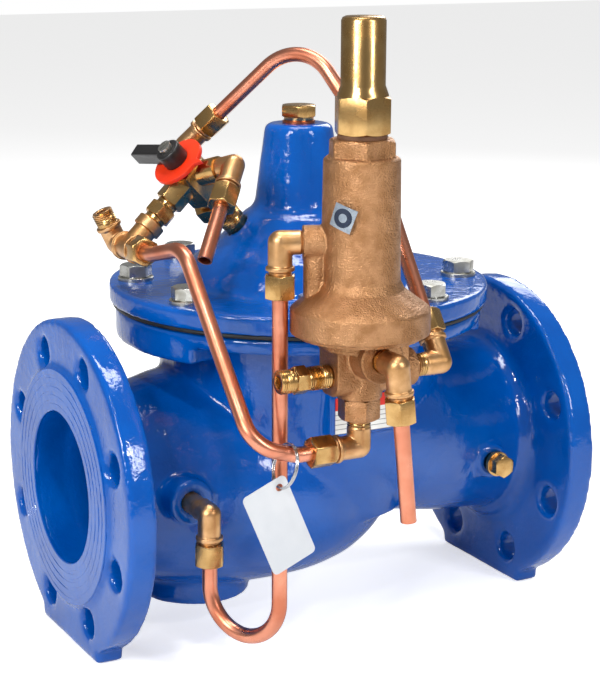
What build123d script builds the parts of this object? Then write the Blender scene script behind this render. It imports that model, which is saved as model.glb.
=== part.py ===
from build123d import *
from math import cos, sin, radians, sqrt
import os

# Pilot-operated diaphragm control valve, DN100, modelled as an assembly of separate pieces.
# A flanged globe body carries a bolted bonnet with a rubber diaphragm, a guided stem and a main spring.
# A bronze spring pilot stands beside it, joined to the body, the bonnet and a three-way cock by copper tube.
# Frame: millimetres, +X along the flow, +Z up, origin at the centre of the inlet flange's raised face.

# ---------------------------------------------------------------- driving dimensions: main valve
FACE_TO_FACE = 350.0        # between the two raised faces
BORE_D = 100.0              # nominal bore
INLET_BORE_L = 24.5         # true round bore inside each flange, before the ducts widen
OUTLET_BORE_L = 32.0
FLANGE_D = 220.0
FLANGE_T = 19.0             # without the raised face
RAISED_D = 156.0
RAISED_T = 3.0
GASKET_GROOVES = 4
BOLT_CIRCLE = 180.0
BOLT_HOLE_D = 19.0
OUTLET_BOLT_HOLE_D = 19.4    # drilled a little wider, to help the bolts find their places
BOLT_HOLES = 8
FOOT_HALF_WIDTH = 50.0      # the squared base of each flange
FOOT_DEPTH = 107.0          # base below the bore's centre line
NECK_D = 128.0              # duct outside, behind each flange
WALL = 8.5                  # casting wall

COVER_D = 256.0             # bonnet flange
COVER_T = 12.5
COVER_TOP = 124.0
DIAPHRAGM_T = 2.5
BODY_FLANGE_D = 248.0
BODY_FLANGE_T = 10.5
BOWL_D = 190.0              # round chamber under the diaphragm, outside
COVER_BOLT_CIRCLE = 220.0
COVER_BOLTS = 8
COVER_BOLT_D = 12.0
COVER_BOLT_HEAD_AF = 19.0
COVER_BOLT_HEAD_T = 7.5
COVER_BOLT_GRIP = 9.0       # thread length held in the body flange
WASHER_D = 24.0
WASHER_T = 2.5

DOME_D = 156.0              # bonnet dome at its foot
DOME_SHOULDER_Z = 171.0
BONNET_NECK_D = 58.0        # at its foot
BONNET_NECK_TOP_D = 46.0
BONNET_NECK_TOP = 229.0
PLUG_THREAD_D = 18.0

SEAT_BORE_D = 92.0
SEAT_DECK_Z = 18.0          # top of the cast deck that holds the seat ring
SEAT_DECK_T = 12.0
SEAT_RING_D = 116.0
SEAT_LIP_H = 4.0
SEAT_FLANGE_T = 4.0
SEAT_SLEEVE_D = 100.0       # where the ring passes through the deck
SPIDER_T = 10.0
HUB_D = 32.0
HUB_L = 20.0
SHUT_GAP = 0.3              # shut disc above the seat's lip
LIFT = 25.0                 # travel of the main disc
STEM_D = 14.0
STEM_COLLAR_D = 30.0
STEM_COLLAR_T = 6.0
STEM_BELOW_BUSH = 22.0      # stem past the lower bush when shut
STEM_TOP = 184.0
DISC_D = 112.0
DISC_T = 14.0
DISC_SEAL_T = 5.0
DISC_SEAL_BAND = 11.0       # width of the rubber face
RETAINER_D = 84.0
RETAINER_T = 5.0
SLEEVE_D = 24.0
PLATE_D = 116.0             # plates that clamp the diaphragm
PLATE_T = 5.0
PLATE_DROP = 13.0           # shut diaphragm's middle below its clamped edge
STEM_NUT_AF = 22.0
STEM_NUT_T = 7.0
GUIDE_BUSH_D = 22.0
UPPER_BUSH_L = 26.0
SPRING_CEILING = 150.0      # inside of the bonnet that the main spring pushes on
MAIN_SPRING_D = 60.0
MAIN_SPRING_WIRE = 4.0
O_RING_D = 3.0
GASKET_T = 1.5
TOP_PLUG_AF = 22.0
TOP_PLUG_HEX_H = 8.0
TOP_PLUG_COLLAR_D = 20.0
TOP_PLUG_COLLAR_H = 2.5

# duct sections: place along the body as a share of its length, half width, lowest and highest point
INLET_SHELL = ((0.043, 62, -62, 62), (0.13, 66, -66, 62), (0.23, 76, -76, 70), (0.343, 84, -80, 68),
               (0.457, 84, -78, 54), (0.557, 70, -68, 32), (0.634, 45, -54, 4))
OUTLET_SHELL = ((0.957, 62, -62, 62), (0.857, 66, -56, 64), (0.757, 76, -52, 72), (0.643, 86, -44, 88),
                (0.5, 92, -32, 97), (0.37, 80, -10, 90))
INLET_CAVITY = ((0.066, 49.5, -49.5, 49.5), (0.157, 54, -54, 42), (0.243, 62, -62, 22),
                (0.329, 68, -64, 4), (0.429, 70, -64, 4), (0.529, 62, -58, 4), (0.586, 52, -50, 2), (0.64, 32, -40, -6))
OUTLET_CAVITY = ((0.914, 49.5, -49.5, 49.5), (0.834, 55, -46, 52), (0.766, 62, -36, 60),
                 (0.703, 68, -10, 74), (0.646, 68, 22, 86), (0.57, 64, 26, 88))
NECK_COVE = 9.0
PAD_X = 95.0                # round foot under the inlet side
PAD_D = 75.0
PAD_BOTTOM = -85.0
LUG_D = 30.0
LUG_T = 11.0
PLUG_BOSS_X = 61.0          # plugged outlet tapping, from the outlet face
PLUG_BOSS_FACE = 74.0
PLUG_BOSS_Z = -3.0
PLUG_BOSS_D = 24.0
OUTLET_PLUG_AF = 14.0
OUTLET_PLUG_GRIP = 8.0
PLATE_FACE = 98.0           # nameplate pad, from the centre line
PLATE_PAD_DEEP = 20.0
PLATE_PAD_Z = 53.0
PLATE_W = 50.0
PLATE_TALL = 24.0
PLATE_EDGE = 3.0

# ---------------------------------------------------------------- driving dimensions: control circuit
TUBE_D = 9.5                # 3/8 in copper tube
TUBE_WALL = 1.0
THREAD_D = 13.2             # 1/4 in pipe thread
PORT_BORE_D = 7.5
ELBOW_D = 14.4
ELBOW_COLLAR_D = 17.0
ELBOW_REACH = 21.0          # elbow centre to the face it screws into
ELBOW_BODY = 12.0           # elbow centre to the end of its casting on the port side
ELBOW_TO_NUT = 18.5         # elbow centre to the tube nut
NUT_AF = 17.0
NUT_L = 14.5
BOSS_D = 30.0               # cast boss on the duct
BOSS_FROM_FACE = 58.0
BOSS_FACE = 80.0            # boss face from the centre line
BOSS_Z = 4.0
THREAD_GRIP = 8.0           # thread hidden in the piece it screws into
INLET_REACH = 25.0
BOTTOM_REACH = 17.0
FRONT_LEG_LEAN = 0.1

PILOT_SIDE = 50.0           # pilot axis, upstream of the stem
PILOT_CLEAR = 2.7           # pilot to the bonnet flange
PILOT_LIFT = 2.7            # pilot housing's rim above the bonnet flange
PILOT_RIM_D = 82.6
PILOT_RIM_H = 15.5
PILOT_SHELL_D = 45.6        # spring housing, outside, mid height
PILOT_SHELL_TOP = 103.0     # heights from the rim's lower edge
PILOT_SHELL_FOOT = 31.0
PILOT_COLLAR_AF = 36.0
PILOT_COLLAR_H = 10.5
PILOT_WALL = 5.0
CAP_AF = 30.0
CAP_HEX_H = 23.0
CAP_D = 25.8
CAP_H = 69.0
CAP_WALL = 2.4
SCREW_D = 12.0
SCREW_PITCH = 1.5
SCREW_DOWN = 12.0           # adjusting travel into the spring, 8 turns
PILOT_TRAVEL = 2.0
PILOT_DISC_D = 74.0         # ported body's disc, screwed into the housing's bell
PILOT_DISC_UP = 6.0
PILOT_DISC_DOWN = 2.5
PILOT_CHAMBER_D = 56.0
PILOT_DIAPHRAGM_T = 1.5
PILOT_STEM_D = 5.0
PILOT_SEAT_D = 14.0
PILOT_SEAT_BORE = 7.0
PILOT_SEAT_Z = -29.0        # seat's underside
PILOT_SEAT_T = 3.0
POPPET_D = 12.0
POPPET_T = 3.5
PILOT_SPRING_D = 28.0
PILOT_SPRING_WIRE = 3.0
BUTTON_D = 32.0
BUTTON_T = 6.0
BUTTON_Z = 80.0
LOCK_NUT_AF = 19.0
LOCK_NUT_T = 6.0
SPIGOT_D = 24.0             # threaded neck that the cap screws on
SPIGOT_H = 8.0
CAP_GASKET_T = 2.2
SCREW_TOP = 150.0
PILOT_ARM_D = 23.2
BLOCK_ROUND = 8.0
RIB_D = 15.0                # cast rib under the housing's side port
PILOT_FRONT_BOSS_D = 28.0
PILOT_PORT_Z = -24.7        # side ports below the rim's lower edge
PILOT_FRONT_PORT_Z = -12.0
PILOT_LEFT_FACE = 21.0      # port faces from the pilot's axis
PILOT_RIGHT_FACE = 35.0
PILOT_FRONT_FACE = 27.0
PILOT_FRONT_REACH = 16.0
PILOT_HIGH_PORT_Z = 53.3
PILOT_HIGH_PORT_ANGLE = 156.0
PILOT_HIGH_PORT_FACE = 34.0
PILOT_HIGH_REACH = 13.0     # its elbow sits close to the port
BOTTOM_PLUG_AF = 22.0
BOTTOM_PLUG_H = 13.5
BOTTOM_PLUG_GRIP = 6.5
BOTTOM_PLUG_THREAD_D = 20.0
PILOT_BARREL_D = 27.0       # middle barrel of the ported lower body
PILOT_BARREL_BOTTOM = -39.4

NIPPLE_AF = 15.0
NIPPLE_HEX_L = 8.0
NIPPLE_HEX_AT = 15.4        # from the port face to the hexagon
NIPPLE_L = 33.0

COCK_TILT = 45.0            # three-way cock's axis from the vertical, leaning upstream
COCK_LEAN = 7.6             # and its lean towards the front
COCK_ENTRY_RADIUS = 46.1    # where its axis meets the bonnet, from the stem
COCK_ENTRY_Z = 165.3
COCK_ENTRY_Y = 6.2
COCK_AF = 24.0
COCK_PORT_T = 46.8          # from the bonnet's surface to the plane of the ports
COCK_BOTTOM_T = 28.5
COCK_TOP_T = 56.5
COCK_BORE_D = 13.6
UNION_AF = 27.0
UNION_T = 14.5
UNION_L = 11.0
UNION_THREAD_D = 16.6
UNION_GRIP = 8.0
SPIGOT_UP = 9.0             # union's spigot inside the cock's bore
BALL_STEM_TOP = 68.0
LEVER_SCREW_THREAD = 5.0
COCK_BOSS_AF = 17.0
COCK_BOSS_END = 24.0        # port face from the cock's axis
COCK_ELBOW_REACH = 12.0
PLUG_STEM_D = 8.0
INDICATOR_T = 59.6          # underside of the position plate, from the bonnet's surface
INDICATOR_D = 36.0
INDICATOR_THICK = 3.2
INDICATOR_TAB = 24.0        # tip of its two pointers
HUB_KNOB_D = 17.0
HUB_KNOB_H = 11.0
LEVER_L = 34.0
LEVER_W = 9.0
LEVER_H = 10.0
LEVER_ANGLE = 75.0          # at rest, round the cock from the tee's side
LEVER_SCREW_D = 9.0
TEE_DISTANCE = 61.7         # from the cock's axis
TEE_BRANCH = 22.0
TEE_HALF_RUN = 13.0
TEE_D = 15.5
TEE_COLLAR_D = 19.0
TEE_NIPPLE_AF = 17.0
TEE_NIPPLE_HEX_L = 9.0
TEE_TURN = 4.0              # the tee's run is turned this far from level
END_ELBOW_REACH = 13.0
END_NIPPLE_L = 24.0

BACK_LEG = (0.523, -0.497, 0.693)
FRONT_LEG = (-0.505, -0.495, -0.707)
RIGHT_LEG = (0.0, 0.588, 0.809)
STUB_END = 74.0             # cock's cut tube, from its elbow's centre
FRONT_STUB_END = 94.0
BEND = 22.0                 # radius of the tubes' hand bends
U_BOTTOM_Z = -69.0

SENSING_OUT = 24.0          # the sensing tube's first straight, from the tee's mouth
SENSING_TOP = Vector(53.6, -80, 166.6)
SENSING_CORNER = Vector(54.5, -172, 65.5)
SENSING_SET = 14.0          # straight out of the pilot's nut before it rises
PEAK_UP = 111.0             # the bonnet tube's two bends, from the elbows it joins
PEAK_DOWN = 163.0
PEAK_BEND = 31.0
U_RADIUS = 27.2

RING_R = 13.2               # split ring, middle of its wire
RING_WIRE = 1.3
TAG_W = 30.0
TAG_L = 55.0
TAG_T = 0.8
TAG_HOLE_R = 2.4
TAG_HOLE_IN = 6.0           # hole from the card's near edges
TAG_LEAN = 23.0
TAG_AT = 24.5               # ring along the lower run of the sensing tube

FIT = 0.05                  # radial clearance of a screwed or pressed fit
RUN = 0.06                  # radial clearance of a running fit
GAP = 0.4                   # clearance between pieces that pass each other

# ---------------------------------------------------------------- worked-out places
BASE = (Align.CENTER, Align.CENTER, Align.MIN)
STEM_X = FACE_TO_FACE / 2
STEM = Vector(STEM_X, 0, 0)
UP, DOWN, NEAR, ALONG = Vector(0, 0, 1), Vector(0, 0, -1), Vector(0, -1, 0), Vector(1, 0, 0)

JOINT_TOP = COVER_TOP - COVER_T                 # bonnet flange on diaphragm
JOINT_LOW = JOINT_TOP - DIAPHRAGM_T             # diaphragm on body flange
BODY_FLANGE_LOW = JOINT_LOW - BODY_FLANGE_T
CHAMBER_R = BOWL_D / 2 - WALL                   # under the diaphragm, inside
SEAT_TOP = SEAT_DECK_Z + SEAT_FLANGE_T + SEAT_LIP_H
DISC_LOW = SEAT_TOP + SHUT_GAP
DISC_TOP = DISC_LOW + DISC_T
COLLAR_LOW = DISC_LOW - RETAINER_T - STEM_COLLAR_T
SPIDER_TOP = COLLAR_LOW - 5.0
PLATE_LOW = JOINT_LOW - PLATE_DROP - PLATE_T    # underside of the lower plate
PLATE_MID = PLATE_LOW + PLATE_T                 # diaphragm's middle
PLATE_TOP = PLATE_MID + DIAPHRAGM_T + PLATE_T

PILOT = Vector(STEM_X - PILOT_SIDE, -(COVER_D / 2 + PILOT_RIM_D / 2 + PILOT_CLEAR), COVER_TOP + PILOT_LIFT)
PILOT_ROOF = PILOT_SHELL_TOP + PILOT_COLLAR_H   # top of the housing's hexagon
CAP_LOW = PILOT_ROOF + CAP_GASKET_T

COCK_SIDE = Vector(cos(radians(COCK_TILT)), 0, sin(radians(COCK_TILT)))
COCK_UP = (Vector(-sin(radians(COCK_TILT)), 0, cos(radians(COCK_TILT))) * cos(radians(COCK_LEAN))
           + NEAR * sin(radians(COCK_LEAN)))
COCK_CROSS = COCK_UP.cross(COCK_SIDE)
COCK_ENTRY = Vector(STEM_X - COCK_ENTRY_RADIUS, COCK_ENTRY_Y, COCK_ENTRY_Z)
COCK = COCK_ENTRY + COCK_UP * COCK_PORT_T       # where its three side ports meet


def around_cock(angle):
    """Direction square to the cock's axis: 0 points down at the tee, 120 away, 240 towards the front."""
    a = radians(angle)
    return COCK_SIDE * -cos(a) + COCK_CROSS * sin(a)


def squared(leg, way):
    """A direction made square to another."""
    leg = Vector(*leg)
    return (leg - way * leg.dot(way)).normalized()


TEE = COCK + around_cock(0) * TEE_DISTANCE
TEE_NEAR = squared(NEAR * cos(radians(TEE_TURN)) + COCK_UP * sin(radians(TEE_TURN)), COCK_SIDE)


# ---------------------------------------------------------------- shapes that many pieces share
def rod(start, direction, length, radius):
    """Round bar from a point, along a direction."""
    return Plane(origin=start, z_dir=direction) * Cylinder(radius, length, align=BASE)


def ring(start, direction, length, outer, inner):
    """Round sleeve from a point, along a direction, by its outer and inner radius."""
    return rod(start, direction, length, outer) - rod(start, direction, length, inner)


def hexagon(start, direction, length, af, spin=0.0, bevel=True):
    """Hexagon bar by its size across flats, with both ends bevelled as a turned nut's are."""
    place = Plane(origin=start, z_dir=direction)
    bar = extrude(RegularPolygon(af / 2, 6, major_radius=False, rotation=spin), length)
    if bevel:
        corner = af / sqrt(3)
        cut = corner - af / 2 * 0.97
        drop = cut * 0.5
        profile = Polyline((0, 0), (corner - cut, 0), (corner, drop), (corner, length - drop),
                           (corner - cut, length), (0, length), close=True)
        bar = bar & revolve(Plane.XZ * make_face(profile), Axis.Z)
    return place * bar


def lathe(points, centre=Vector(0, 0, 0), direction=UP):
    """Solid of revolution from (radius, height) points, about a direction through a centre."""
    return Plane(origin=centre, z_dir=direction) * revolve(Plane.XZ * make_face(Polyline(*points, close=True)), Axis.Z)


def coil(radius, wire, low, high, turns, centre):
    """Compression spring of round wire, as its wound shape."""
    height = high - low - wire
    path = Helix(pitch=height / turns, height=height, radius=radius)
    section = Plane(origin=path @ 0, z_dir=path % 0) * Circle(wire / 2)
    return Pos(centre.X, centre.Y, low + wire / 2) * sweep(section, path=path, is_frenet=True)


def tube(points, bends):
    """Copper tube along straight runs joined by bends."""
    path = FilletPolyline(*[tuple(p) for p in points], radius=bends) if bends else Line(tuple(points[0]), tuple(points[-1]))
    start = Plane(origin=path @ 0, z_dir=path % 0)
    section = start * (Circle(TUBE_D / 2) - Circle(TUBE_D / 2 - TUBE_WALL))
    return sweep(section, path=path)


class Elbow:
    """Brass elbow: a threaded leg screws into a port, the other leg takes a tube nut."""

    def __init__(self, centre, to_port, to_tube, reach=ELBOW_REACH):
        self.centre, self.to_port, self.to_tube, self.reach = centre, to_port.normalized(), to_tube.normalized(), reach

    def solid(self):
        """Built with its threaded leg up and its tube leg to the right, then put in place."""
        body = min(ELBOW_BODY, self.reach - 1)
        leg_end = ELBOW_TO_NUT - 2.0
        here = Vector(0, 0, 0)
        shape = (rod(here, UP, body, ELBOW_D / 2) + Sphere(ELBOW_D / 2) + rod(here, ALONG, leg_end, ELBOW_D / 2)
                 + rod(ALONG * (leg_end - 2.5), ALONG, 2.5, ELBOW_COLLAR_D / 2)
                 + rod(here, UP, self.reach + THREAD_GRIP, THREAD_D / 2)
                 + rod(here, ALONG, ELBOW_TO_NUT + NUT_L - 5, THREAD_D / 2))
        bore = PORT_BORE_D / 2
        shape -= rod(here, UP, self.reach + THREAD_GRIP + 1, bore)
        shape -= rod(here, ALONG, ELBOW_TO_NUT + NUT_L, bore)
        shape -= Sphere(bore)
        shape -= rod(ALONG * (ELBOW_TO_NUT + 1.0), ALONG, NUT_L, TUBE_D / 2 + FIT)
        return Plane(origin=self.centre, x_dir=self.to_tube, z_dir=self.to_port) * shape

    def port_mouth(self):
        """The centre of the face that the threaded leg screws into."""
        return self.centre + self.to_port * self.reach

    def nut(self, spin=0.0):
        return tube_nut(self.centre + self.to_tube * ELBOW_TO_NUT, self.to_tube, spin)

    def ferrule(self):
        return ferrule(self.centre + self.to_tube * ELBOW_TO_NUT, self.to_tube)

    def tube_start(self):
        """Where the tube's end sits in the elbow."""
        return self.centre + self.to_tube * (ELBOW_TO_NUT + 1.5)

    def tapping(self):
        """The hole that takes its threaded leg, with a little room past its end."""
        return rod(self.port_mouth() - self.to_port * 1.0, self.to_port, THREAD_GRIP + 2.0, THREAD_D / 2 + FIT)


def tube_nut(start, direction, spin=0.0):
    """Compression nut that holds a tube, from its threaded mouth."""
    nut = hexagon(start, direction, NUT_L, NUT_AF, spin)
    nut -= rod(start - direction, direction, NUT_L - 5 + 1 + FIT, THREAD_D / 2 + FIT)
    nut -= rod(start, direction, NUT_L + 1, TUBE_D / 2 + FIT)
    nut -= rod(start + direction * (NUT_L - 5), direction, 2.2, TUBE_D / 2 + 1.3)
    return nut


def ferrule(start, direction):
    """Compression ring between the fitting's end and the nut."""
    return ring(start + direction * (NUT_L - 5 + FIT), direction, 2.0, TUBE_D / 2 + 1.2, TUBE_D / 2 + FIT)


def station(x, half_width, low, high):
    """Oval cross-section of a duct, square to the flow."""
    return Plane(origin=(x, 0, (low + high) / 2), x_dir=(0, 1, 0), z_dir=(1, 0, 0)) * Ellipse(half_width, (high - low) / 2)


def duct(*stations):
    return loft([station(*s) for s in stations])


def on_circle(diameter, count, first, centre=STEM):
    """Centres spaced round a circle that lies flat."""
    return [centre + Vector(diameter / 2 * cos(a), diameter / 2 * sin(a), 0)
            for a in (radians(first + 360 / count * i) for i in range(count))]


COVER_BOLT_SPOTS = on_circle(COVER_BOLT_CIRCLE, COVER_BOLTS, 180 / COVER_BOLTS)
high_way = Vector(cos(radians(PILOT_HIGH_PORT_ANGLE)), sin(radians(PILOT_HIGH_PORT_ANGLE)), 0)
PLUG_LOW = PILOT_BARREL_BOTTOM - BOTTOM_PLUG_H
PLUG_LEDGE = PLUG_LOW + THREAD_GRIP + 3

# ---------------------------------------------------------------- elbows, placed from the pieces they join
inlet_elbow = Elbow(Vector(BOSS_FROM_FACE, -BOSS_FACE - INLET_REACH, BOSS_Z), NEAR * -1, DOWN, INLET_REACH)
high_elbow = Elbow(PILOT + UP * PILOT_HIGH_PORT_Z + high_way * (PILOT_HIGH_PORT_FACE + PILOT_HIGH_REACH),
                   high_way * -1, DOWN, PILOT_HIGH_REACH)
bottom_elbow = Elbow(PILOT + UP * (PLUG_LOW - BOTTOM_REACH), UP, ALONG * -1, BOTTOM_REACH)
right_elbow = Elbow(PILOT + ALONG * (PILOT_RIGHT_FACE + ELBOW_REACH) + UP * PILOT_PORT_Z, ALONG * -1, Vector(*RIGHT_LEG))
front_elbow = Elbow(PILOT + NEAR * (PILOT_FRONT_FACE + PILOT_FRONT_REACH) + UP * PILOT_FRONT_PORT_Z, NEAR * -1,
                    Vector(FRONT_LEG_LEAN, 0, -1), PILOT_FRONT_REACH)
cock_back_elbow = Elbow(COCK + around_cock(120) * (COCK_BOSS_END + COCK_ELBOW_REACH), around_cock(120) * -1,
                        squared(BACK_LEG, around_cock(120)), COCK_ELBOW_REACH)
cock_front_elbow = Elbow(COCK + around_cock(240) * (COCK_BOSS_END + COCK_ELBOW_REACH), around_cock(240) * -1,
                         squared(FRONT_LEG, around_cock(240)), COCK_ELBOW_REACH)
ELBOWS = dict(inlet=inlet_elbow, high=high_elbow, bottom=bottom_elbow, right=right_elbow, front=front_elbow,
              cock_back=cock_back_elbow, cock_front=cock_front_elbow)
TEE_MOUTH = TEE + TEE_NEAR * TEE_HALF_RUN       # the tee takes a tube nut here
END_ELBOW = TEE - TEE_NEAR * (TEE_HALF_RUN + END_ELBOW_REACH)
END_LEG = (UP * 0.905 - ALONG * 0.424)
END_LEG = (END_LEG - TEE_NEAR * END_LEG.dot(TEE_NEAR)).normalized()
SENSING_FOOT = bottom_elbow.centre + bottom_elbow.to_tube * (ELBOW_TO_NUT + NUT_L + SENSING_SET - 5)


# ---------------------------------------------------------------- main valve
def flange(start):
    """Line flange with a squared foot, eight bolt holes and no raised face."""
    disc = rod(Vector(start, 0, 0), ALONG, FLANGE_T, FLANGE_D / 2)
    foot = Pos(start + FLANGE_T / 2, 0, -FOOT_DEPTH / 2) * Box(FLANGE_T, 2 * FOOT_HALF_WIDTH, FOOT_DEPTH)
    below = Pos(start, 0, -FOOT_DEPTH - 50) * Box(4 * FLANGE_T, 2 * FLANGE_D, 100)
    return disc + foot - below


def line_bolt_holes(start, hole_d):
    spots = [radians(180 / BOLT_HOLES + 360 / BOLT_HOLES * i) for i in range(BOLT_HOLES)]
    return [rod(Vector(start - 1, BOLT_CIRCLE / 2 * cos(a), BOLT_CIRCLE / 2 * sin(a)), ALONG, FLANGE_T + 2,
                hole_d / 2) for a in spots]


def raised_face(start, direction):
    """Raised face and the fine gasket grooves turned in it, from the flange outwards."""
    face = rod(start, direction, RAISED_T, RAISED_D / 2)
    cuts = []
    for i in range(GASKET_GROOVES):
        middle = BORE_D / 2 + (RAISED_D - BORE_D) / 2 * (0.22 + 0.6 * i / (GASKET_GROOVES - 1))
        cuts.append(ring(start + direction * (RAISED_T - 0.8), direction, 2, middle + 0.9, middle - 0.9))
    return face - cuts


def neck(back, direction):
    """Coved neck from the back of a flange to the duct."""
    r, cove = NECK_D / 2, NECK_COVE
    arc = [(r + cove - cove * sin(radians(t)), cove - cove * cos(radians(t))) for t in (0, 18, 36, 54, 72, 90)]
    return lathe([(0, 0)] + arc + [(0, cove)], back, direction)


def cover_lug(side):
    """Thick pad under two neighbouring cover bolts, round at both ends."""
    reach, half, spread = COVER_BOLT_CIRCLE / 2, LUG_D / 2, 180 / COVER_BOLTS
    low = BODY_FLANGE_LOW - LUG_T
    pad = Rot(0, 0, side - spread) * revolve(
        Plane.XZ * Pos(reach - half / 2, low + LUG_T / 2 + 0.5) * Rectangle(half * 2.9, LUG_T + 1), Axis.Z, 2 * spread)
    for turn in (-spread, spread):
        pad += Rot(0, 0, side + turn) * Pos(reach - half / 2, 0, low) * Box(
            half * 2.9, LUG_D, LUG_T + 1, align=BASE)
    return Pos(STEM_X, 0, 0) * (pad & Cylinder(BODY_FLANGE_D / 2, 400))


def valve_body():
    tail = FACE_TO_FACE
    inner_face = RAISED_T + FLANGE_T
    shell = duct(*[(x * tail, w, a, b) for x, w, a, b in INLET_SHELL])
    shell += duct(*[(x * tail, w, a, b) for x, w, a, b in OUTLET_SHELL])
    shell += lathe([(0, -30), (BOWL_D / 2 * 0.8, -30), (BOWL_D / 2 * 0.93, 15), (BOWL_D / 2, 60),
                    (BOWL_D / 2, BODY_FLANGE_LOW + 1), (0, BODY_FLANGE_LOW + 1)], STEM)
    shell += rod(STEM + UP * BODY_FLANGE_LOW, UP, BODY_FLANGE_T, BODY_FLANGE_D / 2)
    shell += flange(RAISED_T) + flange(tail - inner_face)
    shell += neck(Vector(inner_face, 0, 0), ALONG) + neck(Vector(tail - inner_face, 0, 0), ALONG * -1)
    shell += raised_face(Vector(RAISED_T, 0, 0), ALONG * -1) + raised_face(Vector(tail - RAISED_T, 0, 0), ALONG)
    shell += rod(Vector(PAD_X, 0, PAD_BOTTOM), UP, 30, PAD_D / 2)
    for side in (180, 0):                       # thickened lugs under the upstream and downstream cover bolts
        shell += cover_lug(side)
    shell += rod(Vector(BOSS_FROM_FACE, -BOSS_FACE, BOSS_Z), NEAR * -1, 25, BOSS_D / 2)
    shell += rod(Vector(tail - PLUG_BOSS_X, -PLUG_BOSS_FACE, PLUG_BOSS_Z), NEAR * -1, 25, PLUG_BOSS_D / 2)
    shell += (Pos(STEM_X, -PLATE_FACE + PLATE_PAD_DEEP / 2, PLATE_PAD_Z)
              * Box(PLATE_W + 2 * PLATE_EDGE, PLATE_PAD_DEEP, PLATE_TALL + 2 * PLATE_EDGE))

    cavity = duct(*[(x * tail, w, a, b) for x, w, a, b in INLET_CAVITY])
    outlet = duct(*[(x * tail, w, a, b) for x, w, a, b in OUTLET_CAVITY])
    bowl = lathe([(0, SEAT_DECK_Z), (SEAT_RING_D / 2 + 3, SEAT_DECK_Z), (SEAT_RING_D / 2 + 3, SEAT_DECK_Z + 12),
                  (CHAMBER_R, 62), (CHAMBER_R, JOINT_LOW + 1), (0, JOINT_LOW + 1)], STEM)
    shell -= cavity
    shell -= outlet
    shell -= bowl
    shell -= rod(STEM + UP * (SEAT_DECK_Z - SEAT_DECK_T - 14), UP, SEAT_DECK_T + 15, SEAT_SLEEVE_D / 2 + FIT)
    shell -= rod(Vector(-1, 0, 0), ALONG, INLET_BORE_L + 1, BORE_D / 2)
    shell -= rod(Vector(tail + 1, 0, 0), ALONG * -1, OUTLET_BORE_L + 1, BORE_D / 2)
    shell -= line_bolt_holes(RAISED_T, BOLT_HOLE_D)
    shell -= line_bolt_holes(tail - inner_face, OUTLET_BOLT_HOLE_D)
    shell -= [rod(p + UP * (JOINT_LOW - COVER_BOLT_GRIP - 1), UP, COVER_BOLT_GRIP + 2, COVER_BOLT_D / 2 + FIT)
              for p in COVER_BOLT_SPOTS]
    shell -= inlet_elbow.tapping()
    shell -= rod(Vector(BOSS_FROM_FACE, -BOSS_FACE, BOSS_Z), NEAR * -1, 45, PORT_BORE_D / 2)
    shell -= rod(Vector(tail - PLUG_BOSS_X, -PLUG_BOSS_FACE - 1, PLUG_BOSS_Z), NEAR * -1, OUTLET_PLUG_GRIP + 2,
                 THREAD_D / 2 + FIT)
    return shell


def bonnet():
    r0 = DOME_D / 2
    shell = rod(STEM + UP * JOINT_TOP, UP, COVER_T, COVER_D / 2)
    shell += lathe([(0, COVER_TOP - 1), (r0 + 4, COVER_TOP - 1), (r0 + 2.5, COVER_TOP + 0.8), (r0 - 0.5, COVER_TOP + 3),
                    (r0 - 3, COVER_TOP + 8), (r0 - 6, COVER_TOP + 13), (r0 - 13.5, COVER_TOP + 20.5),
                    (r0 - 24, COVER_TOP + 27.5), (r0 - 33, COVER_TOP + 37), (BONNET_NECK_D / 2 + 7.5, COVER_TOP + 45.5),
                    (BONNET_NECK_D / 2 + 3.4, COVER_TOP + 48), (BONNET_NECK_D / 2 + 0.8, COVER_TOP + 52),
                    (BONNET_NECK_D / 2, COVER_TOP + 56), (BONNET_NECK_TOP_D / 2, BONNET_NECK_TOP - 4),
                    (BONNET_NECK_TOP_D / 2 - 1.2, BONNET_NECK_TOP - 1.2), (BONNET_NECK_TOP_D / 2 - 4, BONNET_NECK_TOP),
                    (0, BONNET_NECK_TOP)], STEM)
    inside = lathe([(0, JOINT_TOP - 1), (CHAMBER_R, JOINT_TOP - 1), (CHAMBER_R, JOINT_TOP + 2.5),
                    (r0 - WALL, COVER_TOP), (r0 - WALL - 3, COVER_TOP + 11), (r0 - 22, SPRING_CEILING - 6),
                    (r0 - 34, SPRING_CEILING), (0, SPRING_CEILING)], STEM)
    shell -= inside
    shell -= rod(STEM + UP * (SPRING_CEILING - 1), UP, UPPER_BUSH_L + 1, GUIDE_BUSH_D / 2 + FIT)
    shell -= rod(STEM + UP * SPRING_CEILING, UP, BONNET_NECK_TOP, PLUG_THREAD_D / 2 + FIT)
    shell -= [rod(p + UP * (JOINT_TOP - 1), UP, COVER_T + 2, COVER_BOLT_D / 2 + 0.5) for p in COVER_BOLT_SPOTS]
    shell -= rod(COCK_ENTRY + COCK_UP * 20, COCK_UP * -1, 21 + UNION_GRIP, UNION_THREAD_D / 2 + FIT)
    shell -= rod(COCK_ENTRY, COCK_UP * -1, 30, PORT_BORE_D / 2)
    return shell


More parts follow.
